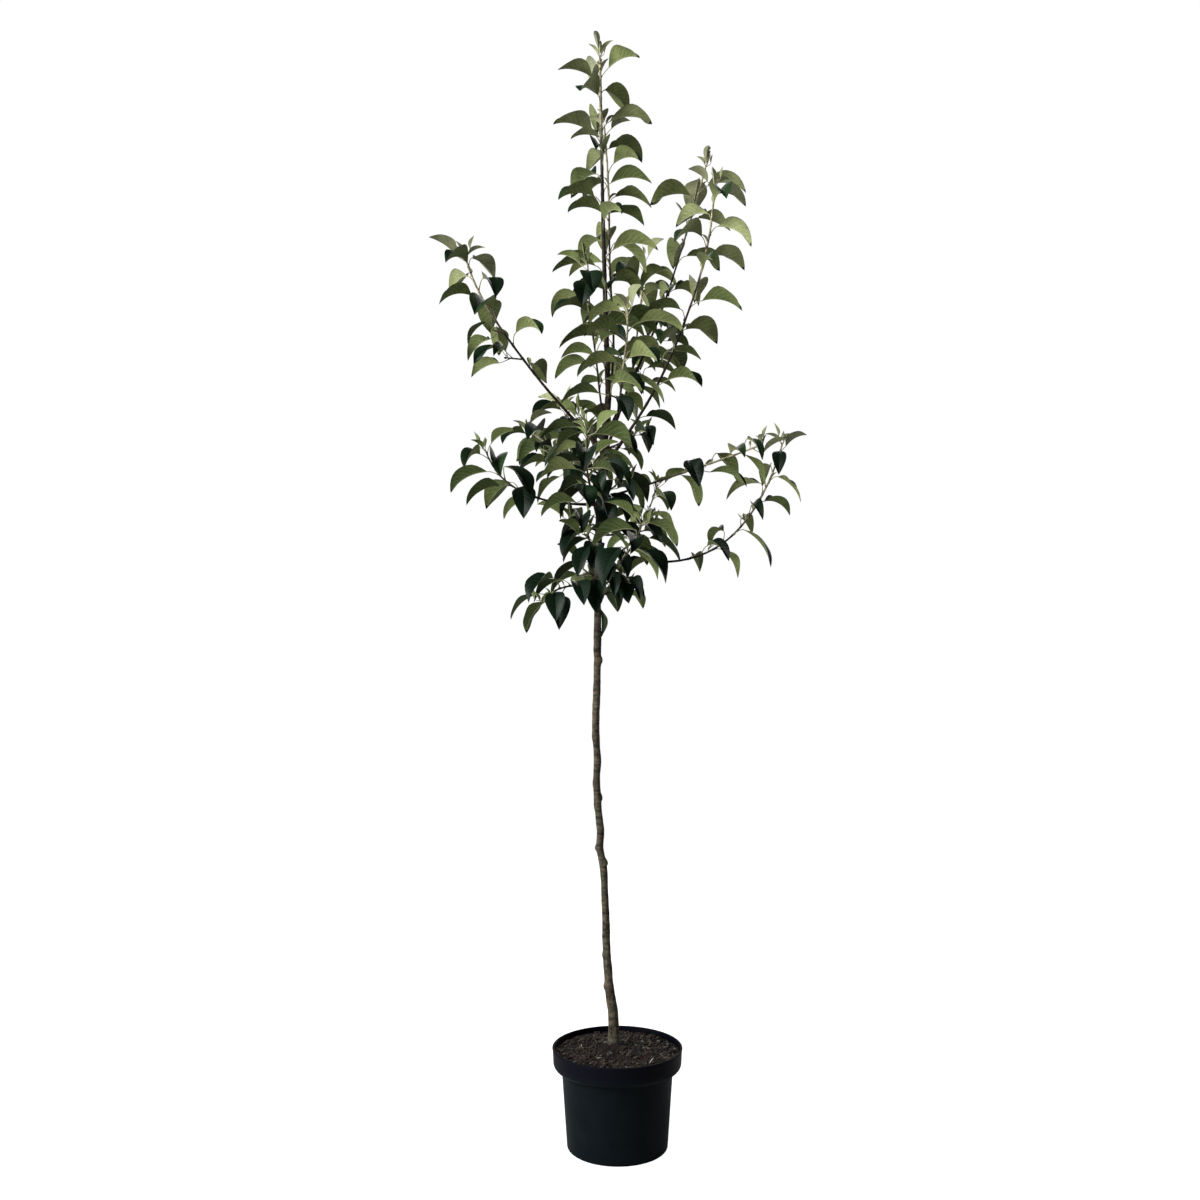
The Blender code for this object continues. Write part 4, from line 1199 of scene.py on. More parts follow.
def leaflets(limb, leaves):
    """The small felted leaflets of a shoot: some in the axils of its upper leaves, which
    stand close to the stem, and three round the tip, each larger and lower than the
    last."""
    rng = random.Random(limb.seed + 1)
    made = []
    for leaf in leaves:
        chance = rng.random()
        lean = rng.uniform(-40, 40)
        size = rng.uniform(0.18, 0.34)
        steep = rng.uniform(0, 18)
        if not 0 < leaf.from_tip < LEAFLET_SPAN or chance > LEAFLET_SHARE:
            continue
        _, along, radius = stem_beside(limb, leaf.root)
        out = unit(leaf.base - leaf.root)
        root = leaf.root + along * LEAFLET_PAST
        base = root + unit(along + LEAFLET_LEAN * out) * (radius + LEAFLET_STALK)
        made.append(Leaf(
            root, base, heading=leaf.heading + lean, rise=76 - steep, droop=52 - 3 * steep,
            curl=0, roll=lean / 3, fold=52, size=size, from_tip=0))
    tip = limb_line(limb, 1.0)[0]
    along = limb_frames(limb, [1.0])[0][0]
    start = rng.uniform(0, 360)
    for k in range(TIP_LEAFLETS):
        heading = start + LEAF_TURN * k + rng.uniform(-15, 15)
        root = tip - along * TIP_STEP * k
        stalk = TIP_STALK[0] + TIP_STALK[1] * k
        base = root + unit(along + TIP_LEAN * turned(heading)) * stalk
        size = TIP_SIZE[0] + TIP_SIZE[1] * k + rng.uniform(-0.03, 0.03)
        made.append(Leaf(
            root, base, heading, rise=78 - 14 * k, droop=60 - 30 * k,
            curl=0, roll=rng.uniform(-15, 15), fold=56, size=size, from_tip=0))
    return made


# Leaves on the trunk itself are mature: further from a tip than any young one
MATURE = 9
STALK_FOOT = 0.004
TRUNK_LEAF_HEIGHT = 1.049
TRUNK_LEAF_HEADING = 4.0
TRUNK_LEAF_REACH = 0.0078
TRUNK_LEAF_DROP = 0.001
# The trunk's leaf takes the darkest upper and under finishes: painted shade
TRUNK_LEAF_LOOKS = Looks(
    twist=0, wave=0.05, waves=1.2, phase=0.3, bulge=0.8, width=0.8, point=0.35,
    upper=0, under=FIRST_UNDER, stalk=0)


def trunk_leaf():
    """The one leaf that hangs from the bare trunk, close against its right side."""
    centre = trunk_centre(TRUNK_LEAF_HEIGHT)[0]
    out = turned(TRUNK_LEAF_HEADING)
    base = centre + out * TRUNK_LEAF_REACH - UP * TRUNK_LEAF_DROP
    return Leaf(
        centre + out * STALK_FOOT, base, TRUNK_LEAF_HEADING, rise=-84, droop=-98,
        curl=0, roll=0, fold=53, size=0.62, from_tip=MATURE)


CORE_LEAVES = 13
CORE_HEIGHT = 1.100
CORE_STEP = 0.0185
CORE_SEED = 12


def core_leaves():
    """Leaves that hang on long stalks from the trunk inside the crown, one over the
    other: the heading of leaf k is the front's plus 68 degrees times sin(2.4 k), and
    its size, fold and droop are drawn."""
    rng = random.Random(CORE_SEED)
    made = []
    for k in range(CORE_LEAVES):
        centre = trunk_centre(CORE_HEIGHT + CORE_STEP * k)[0]
        heading = -90 + 68 * math.sin(2.4 * k) + rng.uniform(-10, 10)
        out = turned(heading)
        base = centre + out * rng.uniform(0.026, 0.038) + UP * rng.uniform(0.002, 0.010)
        made.append(Leaf(
            centre + out * STALK_FOOT,
            base,
            heading,
            rise=rng.uniform(-30, -8),
            droop=rng.uniform(-88, -66),
            curl=rng.uniform(-20, 20),
            roll=rng.uniform(-18, 18),
            fold=rng.uniform(26, 44),
            size=rng.uniform(0.8, 1.0),
            from_tip=MATURE,
        ))
    return made


# Pot and compost

LATHE_SIDES = 128
# How far inside the rim the collar's wall meets the lip, and the pot's flat under the
# round of its foot
LIP_OUT = 0.0007
FOOT_FLAT = 0.004
SOIL_RINGS = 110
SOIL_SPOKES = 320
SOIL_CROWDING = 0.9
# The bank at the wall, and the share of the way out where it starts
SOIL_BANK = 0.004
BANK_START = 0.4
# Height, size and seed of the compost's swells, and of its clods, which only stand out
SOIL_SWELLS = (0.0020, 0.016, 21)
SOIL_CLODS = ((0.0036, 0.0060, 22), (0.0016, 0.0031, 23))
SOIL_SETTLED = 0.0016
# They fade to a share over the last of the way to the wall
WALL_FADE = 0.006
WALL_SHARE = 0.25
# The mound at the trunk's foot, whose top is a little in front of it
MOUND_HEIGHT = 0.007
MOUND_REACH = 0.021
MOUND_FORWARD = 0.008


def lathe(heap, profile, sides=LATHE_SIDES):
    """A closed shape turned round the Z axis from pairs of radius and height, which start
    and end on the axis: the point at heading a is (r cos a, r sin a, z)."""
    radius, height = np.array(profile, float).T
    axis = height[:, None] * UP
    body = rings(axis[1:-1], *LEVEL, radius[1:-1], sides)
    heap.drum(body, axis[0], axis[-1])


def arc(centre, radii, start, end, count):
    """Points on a stretch of an ellipse, angles in degrees from the level outwards."""
    angles = np.radians(np.linspace(start, end, count))
    return [(centre[0] + radii[0] * math.cos(a), centre[1] + radii[1] * math.sin(a)) for a in angles]


def line_of(start, end, count):
    """Even points between two, without the two."""
    share = np.linspace(0, 1, count + 2)[1:-1, None]
    return [tuple(p) for p in np.array(start) * (1 - share) + np.array(end) * share]


def pot_profile():
    """The pot's outline from the middle of its underside round the lip to the middle of
    its floor: a rounded foot, a tapering body, the step out to the collar in a quarter
    round, the collar and a rolled lip."""
    foot = BODY_FOOT_ROUND
    step = COLLAR_FOOT_RADIUS - BODY_TOP_RADIUS
    drop = COLLAR_FOOT_HEIGHT - BODY_TOP_HEIGHT
    lip = LIP_WIDTH / 2
    neck = POT_HEIGHT - lip
    shape = [(0.0, 0.0), (BODY_FOOT_RADIUS / 2, 0.0), (BODY_FOOT_RADIUS - foot - FOOT_FLAT, 0.0)]
    shape += arc((BODY_FOOT_RADIUS - foot, foot), (foot, foot), -90, 0, 7)
    shape += line_of((BODY_FOOT_RADIUS, foot), (BODY_TOP_RADIUS, BODY_TOP_HEIGHT), 14)
    shape += arc((BODY_TOP_RADIUS, COLLAR_FOOT_HEIGHT), (step, drop), -90, 0, 12)
    shape += line_of((COLLAR_FOOT_RADIUS, COLLAR_FOOT_HEIGHT), (RIM_RADIUS - LIP_OUT, neck), 4)
    shape += arc((RIM_RADIUS - lip, neck), (lip, lip), 0, 180, 11)
    low = (COLLAR_FOOT_RADIUS - WALL, COLLAR_FOOT_HEIGHT)
    shape += line_of((RIM_RADIUS - LIP_WIDTH, neck), low, 3) + [low]
    shape += [(BODY_TOP_RADIUS - WALL, BODY_TOP_HEIGHT), (BODY_FOOT_RADIUS - WALL, WALL), (0.0, WALL)]
    return shape


def soil_level(radius):
    """Height of the compost at a distance from the middle, between its named places."""
    marks = [0.0] + [out * SOIL_EDGE for out, _ in SOIL_SHAPE]
    falls = [0.0] + [fall for _, fall in SOIL_SHAPE]
    return SOIL_HEIGHT - SOIL_FALL * np.interp(radius, marks, falls)


def soil_surface(x, y):
    """The compost's top: its level plus lumps of three sizes that fade at the wall, a
    small mound against the trunk, and a bank that rises evenly towards the wall."""
    radius = np.hypot(x, y)
    spot = np.stack((x, y, np.zeros_like(x)), axis=-1)
    height, size, seed = SOIL_SWELLS
    rough = height * lumps(spot, size, seed)
    for height, size, seed in SOIL_CLODS:
        rough = rough + height * np.abs(lumps(spot, size, seed))
    foot = trunk_centre(SOIL_HEIGHT)[0]
    away = np.hypot(x - foot[0], y - foot[1] + MOUND_FORWARD)
    mound = MOUND_HEIGHT * np.exp(-((away / MOUND_REACH) ** 2))
    fade = np.clip((SOIL_EDGE - radius) / WALL_FADE, WALL_SHARE, 1)
    bank = SOIL_BANK * np.clip((radius / SOIL_EDGE - BANK_START) / (1 - BANK_START), 0, 1)
    return soil_level(radius) + fade * (rough - SOIL_SETTLED) + mound + bank


def soil_skin(heap):
    """The compost: a flat bottom, a wall that goes up inside the pot, and a grid of rings
    and spokes on the surface."""
    share = np.linspace(0, 1, SOIL_RINGS)[1:] ** SOIL_CROWDING
    angles = np.linspace(0, 2 * math.pi, SOIL_SPOKES, endpoint=False)
    r, a = np.meshgrid(share[::-1] * SOIL_EDGE, angles, indexing="ij")
    x, y = r * np.cos(a), r * np.sin(a)
    top = np.stack((x, y, soil_surface(x, y)), axis=-1)
    radius, height = np.array((
        (BODY_FOOT_RADIUS, WALL),
        (BODY_TOP_RADIUS, BODY_TOP_HEIGHT),
        (COLLAR_FOOT_RADIUS, COLLAR_FOOT_HEIGHT),
    )).T
    axis = (height + CLEAR)[:, None] * UP
    wall = rings(axis, *LEVEL, radius - WALL - CLEAR, SOIL_SPOKES)
    middle = float(soil_surface(np.zeros(1), np.zeros(1))[0])
    heap.drum(np.concatenate((wall, top)), axis[0], (0, 0, middle))


CRUMBS = 2600
CRUMB_SEED = 7
# The smallest crumb, and how much larger the largest is
CRUMB_SMALLEST = 0.0008
CRUMB_RANGE = 0.0026
# Shares of the crumbs up to each kind, the first two round and the others drawn out
CRUMB_SHARES = (0.46, 0.68, 0.85, 0.96, 1.0)
DRAWN_OUT_FROM = 2
# Least and greatest: how much longer than wide the two sorts are, how much flatter, how
# far slanted, and the share of their way out that the corners keep
CRUMB_DRAWN_OUT = (1.2, 3.2)
CRUMB_ROUND = (0.9, 1.5)
CRUMB_FLATTER = (0.45, 0.9)
CRUMB_SLANT = (-0.5, 0.5)
CRUMB_CORNERS = (0.5, 0.85)
# How far above the compost a crumb's middle is, as a share of its half height
CRUMB_RAISED = 0.25
# How far the crumbs stay from the wall, and the least share of the compost inside a crumb
CRUMB_MARGIN = 0.003
CRUMB_INNERMOST = 0.01


def crumb_skins(heap):
    """Crumbs and bark bits, each sunk a little into the compost: a cube whose corners
    are each drawn in by chance, made longer and flatter, slanted and turned."""
    rng = np.random.default_rng(CRUMB_SEED)
    corner = np.array([(x, y, z) for z in (-1, 1) for y in (-1, 1) for x in (-1, 1)], float)
    sides = np.array((
        (0, 2, 3, 1), (4, 5, 7, 6), (0, 1, 5, 4), (2, 6, 7, 3), (0, 4, 6, 2), (1, 3, 7, 5)))
    radius = (SOIL_EDGE - CRUMB_MARGIN) * np.sqrt(rng.uniform(CRUMB_INNERMOST, 1, CRUMBS))
    heading = rng.uniform(0, 2 * math.pi, CRUMBS)
    x, y = radius * np.cos(heading), radius * np.sin(heading)
    size = CRUMB_SMALLEST + CRUMB_RANGE * rng.uniform(0, 1, CRUMBS) ** 3
    kind = np.searchsorted(CRUMB_SHARES, rng.uniform(0, 1, CRUMBS))
    drawn_out = rng.uniform(*CRUMB_DRAWN_OUT, CRUMBS)
    rounder = rng.uniform(*CRUMB_ROUND, CRUMBS)
    longer = np.where(kind >= DRAWN_OUT_FROM, drawn_out, rounder)
    flatter = rng.uniform(*CRUMB_FLATTER, CRUMBS)
    turn = rng.uniform(0, 2 * math.pi, CRUMBS)[:, None]
    slant = rng.uniform(*CRUMB_SLANT, CRUMBS)[:, None]
    shape = corner[None] * rng.uniform(*CRUMB_CORNERS, (CRUMBS, 8, 3))
    shape = shape * np.stack((longer, np.ones(CRUMBS), flatter), axis=-1)[:, None]
    along, side, up = shape[..., 0], shape[..., 1], shape[..., 2]
    across = along * np.cos(turn) - side * np.sin(turn)
    deep = along * np.sin(turn) + side * np.cos(turn)
    spot = np.stack((across, deep, up + along * slant), axis=-1) * size[:, None, None]
    middle = np.stack((x, y, soil_surface(x, y) + CRUMB_RAISED * size * flatter), axis=-1)
    points = (middle[:, None] + spot).reshape(-1, 3)
    faces = (np.arange(CRUMBS)[:, None, None] * 8 + sides[None]).reshape(-1, 4)
    heap.add(points, [faces], [np.repeat(kind, len(sides))])


# Straw: the place of one end, its heading, length, thickness, and how far it bows up
STRAWS = (
    (0.060, -0.081, 74, 0.030, 0.0009, 0.02),
    (-0.040, -0.052, 20, 0.010, 0.0005, 0.05),
    (0.020, -0.094, 160, 0.009, 0.0004, 0.02),
    (-0.070, 0.020, 100, 0.012, 0.0004, 0.05),
    (0.048, 0.052, -30, 0.014, 0.0005, 0.04),
)
STRAW_ROWS = 7
STRAW_SIDES = 6


def straw_skins(heap):
    """Bits of straw on the compost, each a thin tube that bows up by four times its lift
    times t (1 - t) of its length and narrows at both ends."""
    t = np.linspace(0, 1, STRAW_ROWS)
    taper = np.sqrt(np.clip(1.05 - (2 * t - 1) ** 4, 0.1, 1))
    for x, y, heading, length, thick, lift in STRAWS:
        way = turned(heading)
        line = np.array((x, y, 0.0)) + way * (t * length)[:, None]
        level = soil_surface(line[:, 0], line[:, 1]).max()
        line[:, 2] = level + thick + 4 * lift * length * t * (1 - t)
        heap.tube(rings(line, np.cross(UP, way), UP, thick * taper, STRAW_SIDES))


# Finishes


def tone(red, green, blue):
    """A linear colour from its 0 to 255 screen values."""
    share = np.array((red, green, blue)) / 255.0
    linear = np.where(share <= 0.04045, share / 12.92, ((share + 0.055) / 1.055) ** 2.4)
    return (*(float(c) for c in linear), 1.0)


class Wiring:
    """Nodes of one material or group, made and joined in one call each."""

    def __init__(self, tree):
        self.tree = tree

    def feed(self, node, feeds):
        """Gives each named or numbered socket a value or another node's socket."""
        for name, value in feeds.items():
            if isinstance(value, bpy.types.NodeSocket):
                self.tree.links.new(value, node.inputs[name])
            else:
                node.inputs[name].default_value = value

    def add(self, kind, feeds=None, **settings):
        """A node with its settings and feeds."""
        made = self.tree.nodes.new(kind)
        for name, value in settings.items():
            setattr(made, name, value)
        self.feed(made, feeds or {})
        return made

    def place(self):
        """Object coordinates."""
        return self.add("ShaderNodeTexCoord").outputs["Object"]

    def math(self, operation, first, second=None):
        feeds = {0: first} if second is None else {0: first, 1: second}
        return self.add("ShaderNodeMath", feeds, operation=operation).outputs[0]

    def plus(self, first, second):
        return self.math("ADD", first, second)

    def less(self, first, second):
        return self.math("SUBTRACT", first, second)

    def times(self, first, second):
        return self.math("MULTIPLY", first, second)

    def ridge(self, value, gain, floor):
        """What is left of a value times its gain above a floor."""
        return self.math("MAXIMUM", self.less(self.times(value, gain), floor), 0.0)

    def span(self, value, start, end, low=0.0, high=1.0):
        """A value's way from start to end, as one from low to high."""
        feeds = {"Value": value, "From Min": start, "From Max": end, "To Min": low, "To Max": high}
        return self.add("ShaderNodeMapRange", feeds).outputs[0]

    def stretched(self, vector, by):
        """A vector times another, axis by axis."""
        return self.add("ShaderNodeVectorMath", {0: vector, 1: by}, operation="MULTIPLY").outputs[0]

    def shaded(self, colour, share):
        """A colour times a number."""
        feeds = {0: colour, "Scale": share}
        return self.add("ShaderNodeVectorMath", feeds, operation="SCALE").outputs[0]

    def noise(self, vector, scale, detail, rough=0.5):
        feeds = {"Vector": vector, "Scale": scale, "Detail": detail, "Roughness": rough}
        return self.add("ShaderNodeTexNoise", feeds).outputs[0]

    def mix(self, share, first, second):
        """A colour between two, which the node has at numbers 6, 7 and 2."""
        feeds = {0: share, 6: first, 7: second}
        return self.add("ShaderNodeMix", feeds, data_type="RGBA").outputs[2]

    def ramp(self, value, stops):
        """A colour band from its places and colours."""
        made = self.add("ShaderNodeValToRGB", {"Fac": value})
        band = made.color_ramp
        band.elements[0].position, band.elements[0].color = stops[0]
        band.elements[1].position, band.elements[1].color = stops[-1]
        for place, colour in stops[1:-1]:
            band.elements.new(place).color = colour
        return made.outputs[0]

    def mottled(self, place, colour, scale, depth):
        """The outputs of a mottle group: a colour and a height."""
        feeds = {"Vector": place, "Colour": colour, "Scale": scale, "Depth": depth}
        return self.add("ShaderNodeGroup", feeds, node_tree=MOTTLE).outputs

    def bump(self, height, strength, distance):
        """A normal from a height."""
        feeds = {"Strength": strength, "Distance": distance, "Height": height}
        return self.add("ShaderNodeBump", feeds).outputs[0]


def group(name, takes, gives):
    """An empty node group with its sockets: the group, its wiring, the sockets that it
    is given, and its output node."""
    made = bpy.data.node_groups.new(name, "ShaderNodeTree")
    for socket, kind, value in takes:
        item = made.interface.new_socket(socket, in_out="INPUT", socket_type=kind)
        if value is not None:
            item.default_value = value
    for socket, kind in gives:
        made.interface.new_socket(socket, in_out="OUTPUT", socket_type=kind)
    w = Wiring(made)
    return made, w, w.add("NodeGroupInput").outputs[:len(takes)], w.add("NodeGroupOutput")


VECTOR, COLOUR, NUMBER = "NodeSocketVector", "NodeSocketColor", "NodeSocketFloat"


def mottle_group():
    """Colour that drifts between a darker and a lighter share of itself in soft patches,
    with fine speckles, and the same patches as a height."""
    made, w, (place, colour, scale, depth), result = group(
        "mottle",
        (
            ("Vector", VECTOR, None),
            ("Colour", COLOUR, None),
            ("Scale", NUMBER, 40.0),
            ("Depth", NUMBER, 0.3),
        ),
        (("Colour", COLOUR), ("Height", NUMBER)),
    )
    broad = w.noise(place, scale, 3.0)
    fine = w.noise(place, w.times(scale, 9.0), 2.0)
    drift = w.less(w.plus(w.times(broad, 1.4), w.times(fine, 0.6)), 1.0)
    change = w.plus(1.0, w.times(drift, w.times(depth, 2.0)))
    w.feed(result, {"Colour": w.shaded(colour, change), "Height": drift})
    return made


def vein_group():
    """Side veins of a leaf from its map, u along and v across. They leave the midrib
    forwards, so each lies where 8.5 (u - 0.3 |2v - 1|^0.85) is whole, and fade at the
    margin. Gives the veins, and the closeness to the midrib and to the margin."""
    made, w, (flat,), result = group(
        "leaf veins",
        (("Map", VECTOR, None),),
        (("Veins", NUMBER), ("Midrib", NUMBER), ("Margin", NUMBER)),
    )
    split = w.add("ShaderNodeSeparateXYZ", {0: flat}).outputs
    across = w.math("ABSOLUTE", w.less(w.times(split[1], 2.0), 1.0))
    bend = w.times(w.math("POWER", across, 0.85), 0.30)
    phase = w.times(w.less(split[0], bend), 8.5)
    away = w.math("ABSOLUTE", w.less(w.math("FRACT", phase), 0.5))
    fade = w.less(1.0, w.math("POWER", across, 3.0))
    near = w.math("MAXIMUM", w.less(1.0, w.times(across, 11.0)), 0.0)
    veins = w.times(w.ridge(away, 7.0, 2.5), fade)
    w.feed(result, {"Veins": veins, "Midrib": near, "Margin": w.ridge(across, 12.0, 11.0)})
    return made


# Bark colours by youth, from the trunk's foot to a felted tip
BARK_TONES = (
    (0.0, tone(78, 73, 61)),
    (0.22, tone(66, 58, 48)),
    (0.36, tone(44, 34, 31)),
    (0.60, tone(37, 28, 27)),
    (0.78, tone(96, 88, 72)),
    (1.0, tone(176, 168, 138)),
)
BARK_WARM = tone(86, 69, 56)
BARK_PORE = tone(150, 142, 118)
BARK_SCAR = tone(24, 20, 16)


def bark_group():
    """Bark colour by age, from grey olive through purple brown to pale felt, with soft
    patches drawn out round the stem, pale pores and dark scars, and its fine height."""
    made, w, (place, youth, scar), result = group(
        "bark",
        (("Vector", VECTOR, None), ("Youth", NUMBER, 0.0), ("Scar", NUMBER, 0.0)),
        (("Colour", COLOUR), ("Height", NUMBER)),
    )
    base = w.ramp(youth, BARK_TONES)
    flattened = w.stretched(place, (1.0, 1.0, 2.6))
    broad = w.noise(flattened, 60.0, 4.0, 0.6)
    streak = w.noise(w.stretched(place, (1.0, 1.0, 0.16)), 420.0, 3.0)
    patches = w.less(w.plus(broad, w.times(streak, 0.5)), 0.75)
    bands = w.noise(w.stretched(place, (0.2, 0.2, 1.0)), 42.0, 4.0, 0.7)
    bands = w.times(w.less(bands, 0.5), w.less(2.7, w.times(youth, 2.0)))
    change = w.plus(1.0, w.plus(w.times(patches, 4.2), bands))
    warm = w.span(w.noise(place, 24.0, 2.0), 0.48, 0.64, high=0.5)
    base = w.mix(w.times(warm, w.less(1.0, youth)), base, BARK_WARM)
    shaded = w.shaded(base, w.math("MAXIMUM", change, 0.22))
    pores = w.add("ShaderNodeTexVoronoi", {"Vector": flattened, "Scale": 210.0}).outputs[0]
    pore = w.math("MAXIMUM", w.less(1.0, w.times(pores, 5.5)), 0.0)
    pore = w.times(pore, w.less(1.0, w.times(youth, 0.7)))
    pored = w.mix(w.times(pore, 0.7), shaded, BARK_PORE)
    relief = w.plus(w.times(streak, 0.5), w.times(broad, 0.6))
    w.feed(result, {
        "Colour": w.mix(w.times(scar, 0.75), pored, BARK_SCAR),
        "Height": w.plus(relief, w.times(pore, 0.8)),
    })
    return made


MOTTLE = mottle_group()
VEINS = vein_group()
BARK = bark_group()


def finish_of(name):
    """A new material: its wiring and its shader."""
    made = bpy.data.materials.new(name)
    made.use_nodes = True
    return made, Wiring(made.node_tree), made.node_tree.nodes["Principled BSDF"]


# The darker margin of every leaf is painted shade along its edges
LEAF_MARGIN_SHADE = tone(38, 44, 22)


def leaf_finish(name, colour, vein_colour, vein_share, rough, depth, relief, sheen):
    """A leaf's side: its own colour with soft patches, paler veins and a margin darkened as
    painted shade, then broad patches that are partly random tone and partly painted
    shade, and veins that stand out or are sunk in by the sign of the relief."""
    made, w, shader = finish_of(name)
    place = w.place()
    flat = w.add("ShaderNodeUVMap", uv_map="leaf_map").outputs[0]
    veins = w.add("ShaderNodeGroup", {"Map": flat}, node_tree=VEINS).outputs
    mottled = w.mottled(place, tone(*colour), 55.0, depth)["Colour"]
    ribs = w.times(w.math("MAXIMUM", veins["Veins"], veins["Midrib"]), vein_share)
    veined = w.mix(ribs, mottled, tone(*vein_colour))
    # Darkens the margin: painted shade
    edged = w.mix(w.times(veins["Margin"], 0.35), veined, LEAF_MARGIN_SHADE)
    height = w.plus(w.times(veins["Veins"], relief), w.noise(place, 130.0, 0.0))
    # The broad patches across each leaf are partly random tone and partly painted shade
    w.feed(shader, {
        "Base Color": w.mottled(place, edged, 24.0, 0.5)["Colour"],
        "Roughness": rough,
        "Specular IOR Level": 0.14,
        "Sheen Weight": sheen,
        "Normal": w.bump(height, 0.4, 0.0004),
    })
    return made


def bark_finish(name, rough):
    """Bark that reads its youth and scars from the mesh."""
    made, w, shader = finish_of(name)
    feeds = {"Vector": w.place()}
    for socket, number in (("Youth", "youth"), ("Scar", "scar")):
        feeds[socket] = w.add("ShaderNodeAttribute", attribute_name=number).outputs["Fac"]
    bark = w.add("ShaderNodeGroup", feeds, node_tree=BARK).outputs
    w.feed(shader, {
        "Base Color": bark["Colour"],
        "Roughness": rough,
        "Specular IOR Level": 0.15,
        "Normal": w.bump(bark["Height"], 0.7, 0.0009),
    })
    return made


def plain_finish(name, colour, scale, depth, rough, relief, specular=0.4):
    """One colour in soft patches, with its fine relief."""
    made, w, shader = finish_of(name)
    mottled = w.mottled(w.place(), tone(*colour), scale, depth)
    w.feed(shader, {
        "Base Color": mottled["Colour"],
        "Roughness": rough,
        "Specular IOR Level": specular,
        "Normal": w.bump(mottled["Height"], 0.5, relief),
    })
    return made


# Heights over which the pot's colour changes to the collar's darker, bluer tint, which
# is painted shade and painted reflection, and over which its lip gets duller
COLLAR_PAINTED_TINT = (0.158, 0.172)
LIP_DULL = (0.1885, 0.1925)


def pot_finish():
    """Moulded black plastic: nearly even, painted darker and bluer on the collar as shade
    and reflection, with a dull sheen that changes in faint upright streaks and fades on
    the lip, and a little dust."""
    made, w, shader = finish_of("black_plastic")
    place = w.place()
    height = w.add("ShaderNodeSeparateXYZ", {0: place}).outputs[2]
    # The collar's darker, bluer tone is painted shade and painted reflection
    colour = w.mix(w.span(height, *COLLAR_PAINTED_TINT), tone(10, 18, 22), tone(8, 9, 18))
    mottled = w.mottled(place, colour, 30.0, 0.25)
    streak = w.noise(w.stretched(place, (1.0, 1.0, 0.05)), 130.0, 3.0)
    dusty = w.ridge(w.noise(place, 26.0, 6.0, 0.7), 2.2, 1.15)
    rough = w.plus(w.plus(0.36, w.times(streak, 0.16)), w.times(dusty, 0.25))
    relief = w.plus(streak, w.times(mottled["Height"], 0.4))
    w.feed(shader, {
        "Base Color": w.mix(w.times(dusty, 0.07), mottled["Colour"], tone(70, 66, 58)),
        "Roughness": w.plus(rough, w.span(height, *LIP_DULL, high=0.35)),
        "Specular IOR Level": 0.07,
        "Normal": w.bump(relief, 0.25, 0.0004),
    })
    return made


# Broad patches in the compost's colour: size as a scale, where they start, and colour
SOIL_PATCHES = ((17.0, 0.50, tone(47, 34, 34)), (23.0, 0.53, tone(58, 52, 36)))


def soil_finish():
    """Compost: near black in soft patches, with broad reddish and yellowish ones."""
    made, w, shader = finish_of("compost")
    place = w.place()
    colour = tone(34, 30, 28)
    for scale, start, other in SOIL_PATCHES:
        share = w.span(w.noise(place, scale, 2.0), start, start + 0.12)
        colour = w.mix(w.times(share, 0.75), colour, other)
    mottled = w.mottled(place, colour, 90.0, 0.9)
    w.feed(shader, {
        "Base Color": mottled["Colour"],
        "Roughness": 0.95,
        "Specular IOR Level": 0.15,
        "Normal": w.bump(mottled["Height"], 0.6, 0.0009),
    })
    return made


# A leaf's sides, from deep to pale: colour, colour and strength of the veins, roughness,
# depth of the patches, relief of the veins, and sheen. The three upper sides, and the
# under sides from under_shade to under_pale, are darker and lighter copies dealt out by
# the light on each leaf: painted shade and painted light
LEAF_FINISHES = [leaf_finish(*row) for row in (
    ("upper_deep", (15, 31, 20), (48, 66, 44), 0.3, 0.42, 0.25, -0.8, 0.0),
    ("upper_mid", (21, 40, 23), (56, 76, 46), 0.3, 0.42, 0.25, -0.8, 0.0),
    ("upper_light", (33, 54, 28), (74, 92, 54), 0.3, 0.42, 0.25, -0.8, 0.0),
    ("under_shade", (50, 63, 38), (84, 98, 64), 0.4, 0.66, 0.22, 1.0, 0.05),
    ("under_deep", (83, 98, 54), (136, 148, 100), 0.62, 0.72, 0.22, 1.0, 0.1),
    ("under_low", (113, 127, 74), (162, 172, 120), 0.62, 0.72, 0.22, 1.0, 0.1),
    ("under_mid", (140, 151, 93), (188, 195, 144), 0.62, 0.74, 0.22, 1.0, 0.12),
    ("under_pale", (163, 172, 118), (206, 211, 166), 0.62, 0.76, 0.22, 1.0, 0.15),
    ("young_felt", (169, 174, 132), (200, 203, 164), 0.5, 0.85, 0.18, 0.7, 0.2),
)]
# Plain finishes: colour, scale and depth of the patches, roughness, relief, highlights
STALK_FINISHES = [plain_finish(*row) for row in (
    ("stalk_green", (158, 158, 120), 90.0, 0.25, 0.6, 0.0003),
    ("stalk_felt", (184, 182, 148), 90.0, 0.2, 0.8, 0.0003),
)]
CRUMB_FINISHES = [plain_finish(*row) for row in (
    ("peat_dark", (29, 26, 25), 300.0, 0.4, 0.95, 0.0006, 0.2),
    ("peat_brown", (51, 43, 38), 300.0, 0.4, 0.95, 0.0006, 0.2),
    ("bark_red", (54, 40, 39), 260.0, 0.35, 0.9, 0.0006, 0.2),
    ("bark_tan", (72, 64, 52), 260.0, 0.35, 0.9, 0.0006, 0.2),
    ("chalk_bits", (96, 94, 89), 260.0, 0.3, 0.9, 0.0005, 0.2),
)]
STRAW_FINISH = ("straw", (214, 208, 188), 300.0, 0.2, 0.7, 0.0003)
BUD_FINISH = ("bud_scales", (74, 50, 44), 200.0, 0.35, 0.7, 0.0004)


# The plant


def dress(piece, slot, *nodes):
    """Rides on the root body and stands for its solids. Its slot is not used."""
    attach(piece, "root")
    if nodes:
        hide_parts(*nodes)


